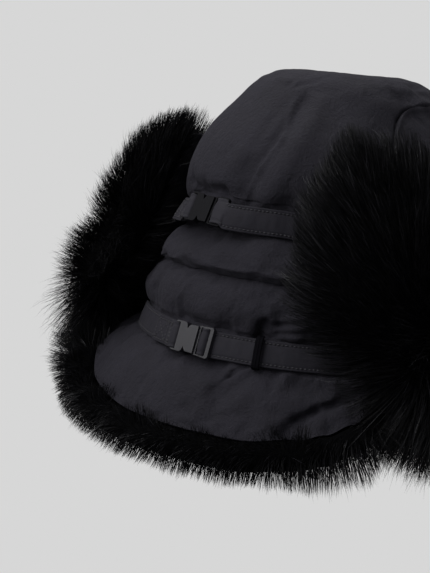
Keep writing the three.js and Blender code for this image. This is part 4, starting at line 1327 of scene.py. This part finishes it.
def strap_pieces(strap):
    """The long strap threads the plug's frame, over its middle bar only or, on the upper strap, over all of it.
    The short tab folds round the bar of the socket and is sewn down on itself."""
    name = strap["name"]
    centre, along, across, outward = buckle_place(strap)
    to_degrees = 1 / np.radians(MEAN_RADIUS + strap["stand_off"])
    half = STRAP_WIDTH / 2 - STITCH_INSET

    def threaded(rows):
        near = centre + rows["run"][:, None] * along + rows["rise"][:, None] * outward
        return near, np.broadcast_to(across, near.shape)

    rows, reach = (WEAVE, WEAVE_LANDING) if strap is LOWER else (COVER, COVER_LANDING)
    near, near_sides = threaded(rows)
    angles = np.linspace(strap["buckle"] + rows["run"][-1] * to_degrees, strap["end"], 90)
    _, sides, out = basis(strap, angles)
    gap = (near[-1] - on_hat(strap, angles[0], 0.0)) @ out[0]
    lift = 0.1 + gap * np.clip(1 - (angles - angles[0]) / (reach * to_degrees), 0, 1)
    path = np.concatenate([near, on_hat(strap, angles[1:], lift[1:])])
    build = Build(f"{name}_strap_webbing")
    rings, line = band(path, np.concatenate([near_sides, sides[1:]]), STRAP_WIDTH, STRAP_THICKNESS, 1.0, 7)
    build.add(*closed_tube(rings))
    total = line[0][-1]
    stitched_lines(build, line, [((15, side * half), (total - 1, side * half)) for side in (-1, 1)])
    enter(build.make(STRAP, THREAD), f"{name}_strap")

    turn = strap["buckle"] - FOLD_LANDING * to_degrees
    outer = np.linspace(strap["buckle"] - TAB_END * to_degrees, turn, 20)
    inner = np.linspace(turn, strap["tab_start"], 60)
    near, near_sides = threaded(FOLD)
    path = [on_hat(strap, outer, STRAP_THICKNESS + 0.3), near, on_hat(strap, inner, 0.0)]
    sides = [basis(strap, outer)[1], near_sides, basis(strap, inner)[1]]
    build = Build(f"{name}_tab_webbing")
    rings, line = band(np.concatenate(path), np.concatenate(sides), STRAP_WIDTH, STRAP_THICKNESS, 1.0, 17)
    build.add(*closed_tube(rings))
    total = line[0][-1]
    first, last, doubled = 1.6, 15.0, TAB_END - 18
    cross = [((first, -half), (last, half)), ((first, half), (last, -half))]
    bars = [((run, -half), (run, half)) for run in (first, last, last + 7, last + 9)]
    edges = [((first, side * half), (doubled - 2, side * half)) for side in (-1, 1)]
    stitched_lines(build, line, cross + bars + edges)
    edges = [((doubled + 22, side * half), (total - 1, side * half)) for side in (-1, 1)]
    stitched_lines(build, line, edges, -1)
    enter(build.make(STRAP, THREAD), f"{name}_strap_tab")


strap_pieces(UPPER)
strap_pieces(LOWER)


def keeper():
    """A short cloth loop over the lower strap: v runs down it, and it bows out by 1 - |2v - 1|^bow of the room
    that the strap needs, so that both ends drop to the flap."""
    v = np.linspace(0, 1, 60)
    offset = (0.5 - v) * (STRAP_WIDTH + KEEPER["over"])
    bow = 1 - np.abs(2 * v - 1) ** KEEPER["bow"]
    clear = STRAP_CLEARANCE + STRAP_THICKNESS + KEEPER["clear"] + KEEPER["thickness"] / 2
    stand = LOWER["stand_off"] + KEEPER["lift"] - LOWER_SLOPE * offset + clear * bow
    angle = np.full(v.shape, KEEPER["angle"])
    path = oval_point(angle, stand, LOWER["height"] + offset)
    rings, _ = band(path, basis(LOWER, angle)[0], KEEPER["width"], KEEPER["thickness"], 0.5, 27, 0.0)
    # The loop is real, but its near-black tone is painted shade
    piece = Build("keeper_loop").add(*closed_tube(rings)).make(KEEPER_SHADE_CLOTH)
    face_outward(piece)
    enter(piece, "lower_strap_keeper")


keeper()


# Buckles: the CAD nodes themselves, with their corners joined, flat faces made whole and sharp edges rounded
CORNER_GAP, EDGE_RADIUS, FLAT, SHARP = 0.02, 0.55, 2, 28

for name in ("upper_buckle_socket", "upper_buckle_plug", "lower_buckle_socket", "lower_buckle_plug"):
    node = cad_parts[name]
    weld = node.modifiers.new("join_corners", "WELD")
    weld.merge_threshold = CORNER_GAP * MM
    plain = node.modifiers.new("join_flat_faces", "DECIMATE")
    plain.decimate_type = "DISSOLVE"
    plain.angle_limit = np.radians(FLAT)
    edge = node.modifiers.new("moulded_edges", "BEVEL")
    edge.width = EDGE_RADIUS * MM
    edge.segments = 3
    edge.limit_method = "ANGLE"
    edge.angle_limit = np.radians(SHARP)
    edge.harden_normals = True
    node.data.materials.clear()
    # The upper buckle takes the darker copy of the plastic, which is painted shade
    node.data.materials.append(SHADED_PLASTIC if name.startswith("upper") else PLASTIC)


# Camera, lights and stage. The camera looks past a point in the hat, by some mm to its right and up
AZIMUTH, ELEVATION, ROLL, DISTANCE = 230.0, 10.5, 5.2, 950.0
LOOKED_AT, PAST_RIGHT, PAST_UP = np.array([0, 0, 9.0]), -83.3, -27.6
azimuth, elevation, roll = np.radians([AZIMUTH, ELEVATION, ROLL])
toward = np.array([np.sin(azimuth) * np.cos(elevation), -np.cos(azimuth) * np.cos(elevation), np.sin(elevation)])
level_right = np.array([np.cos(azimuth), np.sin(azimuth), 0.0])
level_up = np.cross(toward, level_right)
camera_right = level_right * np.cos(roll) + level_up * np.sin(roll)
camera_up = -level_right * np.sin(roll) + level_up * np.cos(roll)
camera_spot = LOOKED_AT + camera_right * PAST_RIGHT + camera_up * PAST_UP + toward * DISTANCE

camera = bpy.data.cameras.new("photo_camera")
camera.lens = 78.8
camera.sensor_width = 36.0
camera.clip_start, camera.clip_end = 0.05, 30.0
view_point = bpy.data.objects.new("photo_camera", camera)
turn = Matrix(np.stack([camera_right, camera_up, toward], -1).tolist()).to_4x4()
view_point.matrix_world = Matrix.Translation(Vector(camera_spot * MM)) @ turn
bpy.context.scene.collection.objects.link(view_point)
bpy.context.scene.camera = view_point


def soft_light(name, spot, size, power):
    """A square area light at a place given as mm to the camera's right, up and toward it, aimed at the hat."""
    light = bpy.data.lights.new(name, "AREA")
    light.shape, light.size, light.energy = "SQUARE", size, power
    lamp = bpy.data.objects.new(name, light)
    place = Vector((camera_right * spot[0] + camera_up * spot[1] + toward * spot[2]) * MM)
    aim = Vector((0, 0, 20 * MM)) - place
    lamp.matrix_world = Matrix.Translation(place) @ aim.to_track_quat("-Z", "Y").to_matrix().to_4x4()
    bpy.context.scene.collection.objects.link(lamp)


soft_light("key", (-1000, 900, 800), 1.3, 15.4)
soft_light("top", (-100, 1400, -200), 1.4, 8.0)
soft_light("fill", (1300, 200, 900), 1.6, 1.6)


# The one tone that the camera sees behind the hat, on the floor and in the air
BACKDROP = (0.6795, 0.6795, 0.6795, 1)


def studio():
    """A pale floor that rises behind into a wall: a long strip bent upward by a quarter circle at its back."""
    wall = Finish("pale_studio_floor")
    dim = wall.node("ShaderNodeBsdfDiffuse", None, {"Color": (0.2, 0.2, 0.2, 1)})
    wall.even_to_camera(dim, wall.node("ShaderNodeEmission", None, {"Color": BACKDROP, "Strength": 1.0}))
    t = np.linspace(0, 1, 60)
    forward = np.array([-np.sin(azimuth), np.cos(azimuth), 0])
    floor_height, depth, radius = -330.0, 1500.0, 900.0
    bend = np.clip((t - 0.5) / 0.25, 0, 1) * np.pi / 2
    run = np.where(t < 0.5, blend(-2500, depth, t / 0.5), depth) + radius * np.sin(bend)
    rise = radius * (1 - np.cos(bend)) + np.clip((t - 0.75) / 0.25, 0, 1) * 2600
    across = np.linspace(-3500, 3500, 12)
    up = np.array([0, 0, 1.0]) * (floor_height + rise)[:, None, None]
    points = run[:, None, None] * forward + across[None, :, None] * level_right + up
    floor = Build("pale_floor").add(points, grid_quads(len(t), len(across))).make(wall.material)


studio()

world = bpy.context.scene.world or bpy.data.worlds.new("studio")
bpy.context.scene.world = world
world.use_nodes = True
world.node_tree.nodes.clear()
world.node_tree.nodes.new("ShaderNodeOutputWorld")
air = Nodes(world.node_tree)
dim_air, bright_air = (
    air.node("ShaderNodeBackground", None, {"Color": color}) for color in ((0.2, 0.2, 0.208, 1), BACKDROP)
)
air.even_to_camera(dim_air, bright_air)
bpy.context.scene.view_settings.view_transform = "Standard"
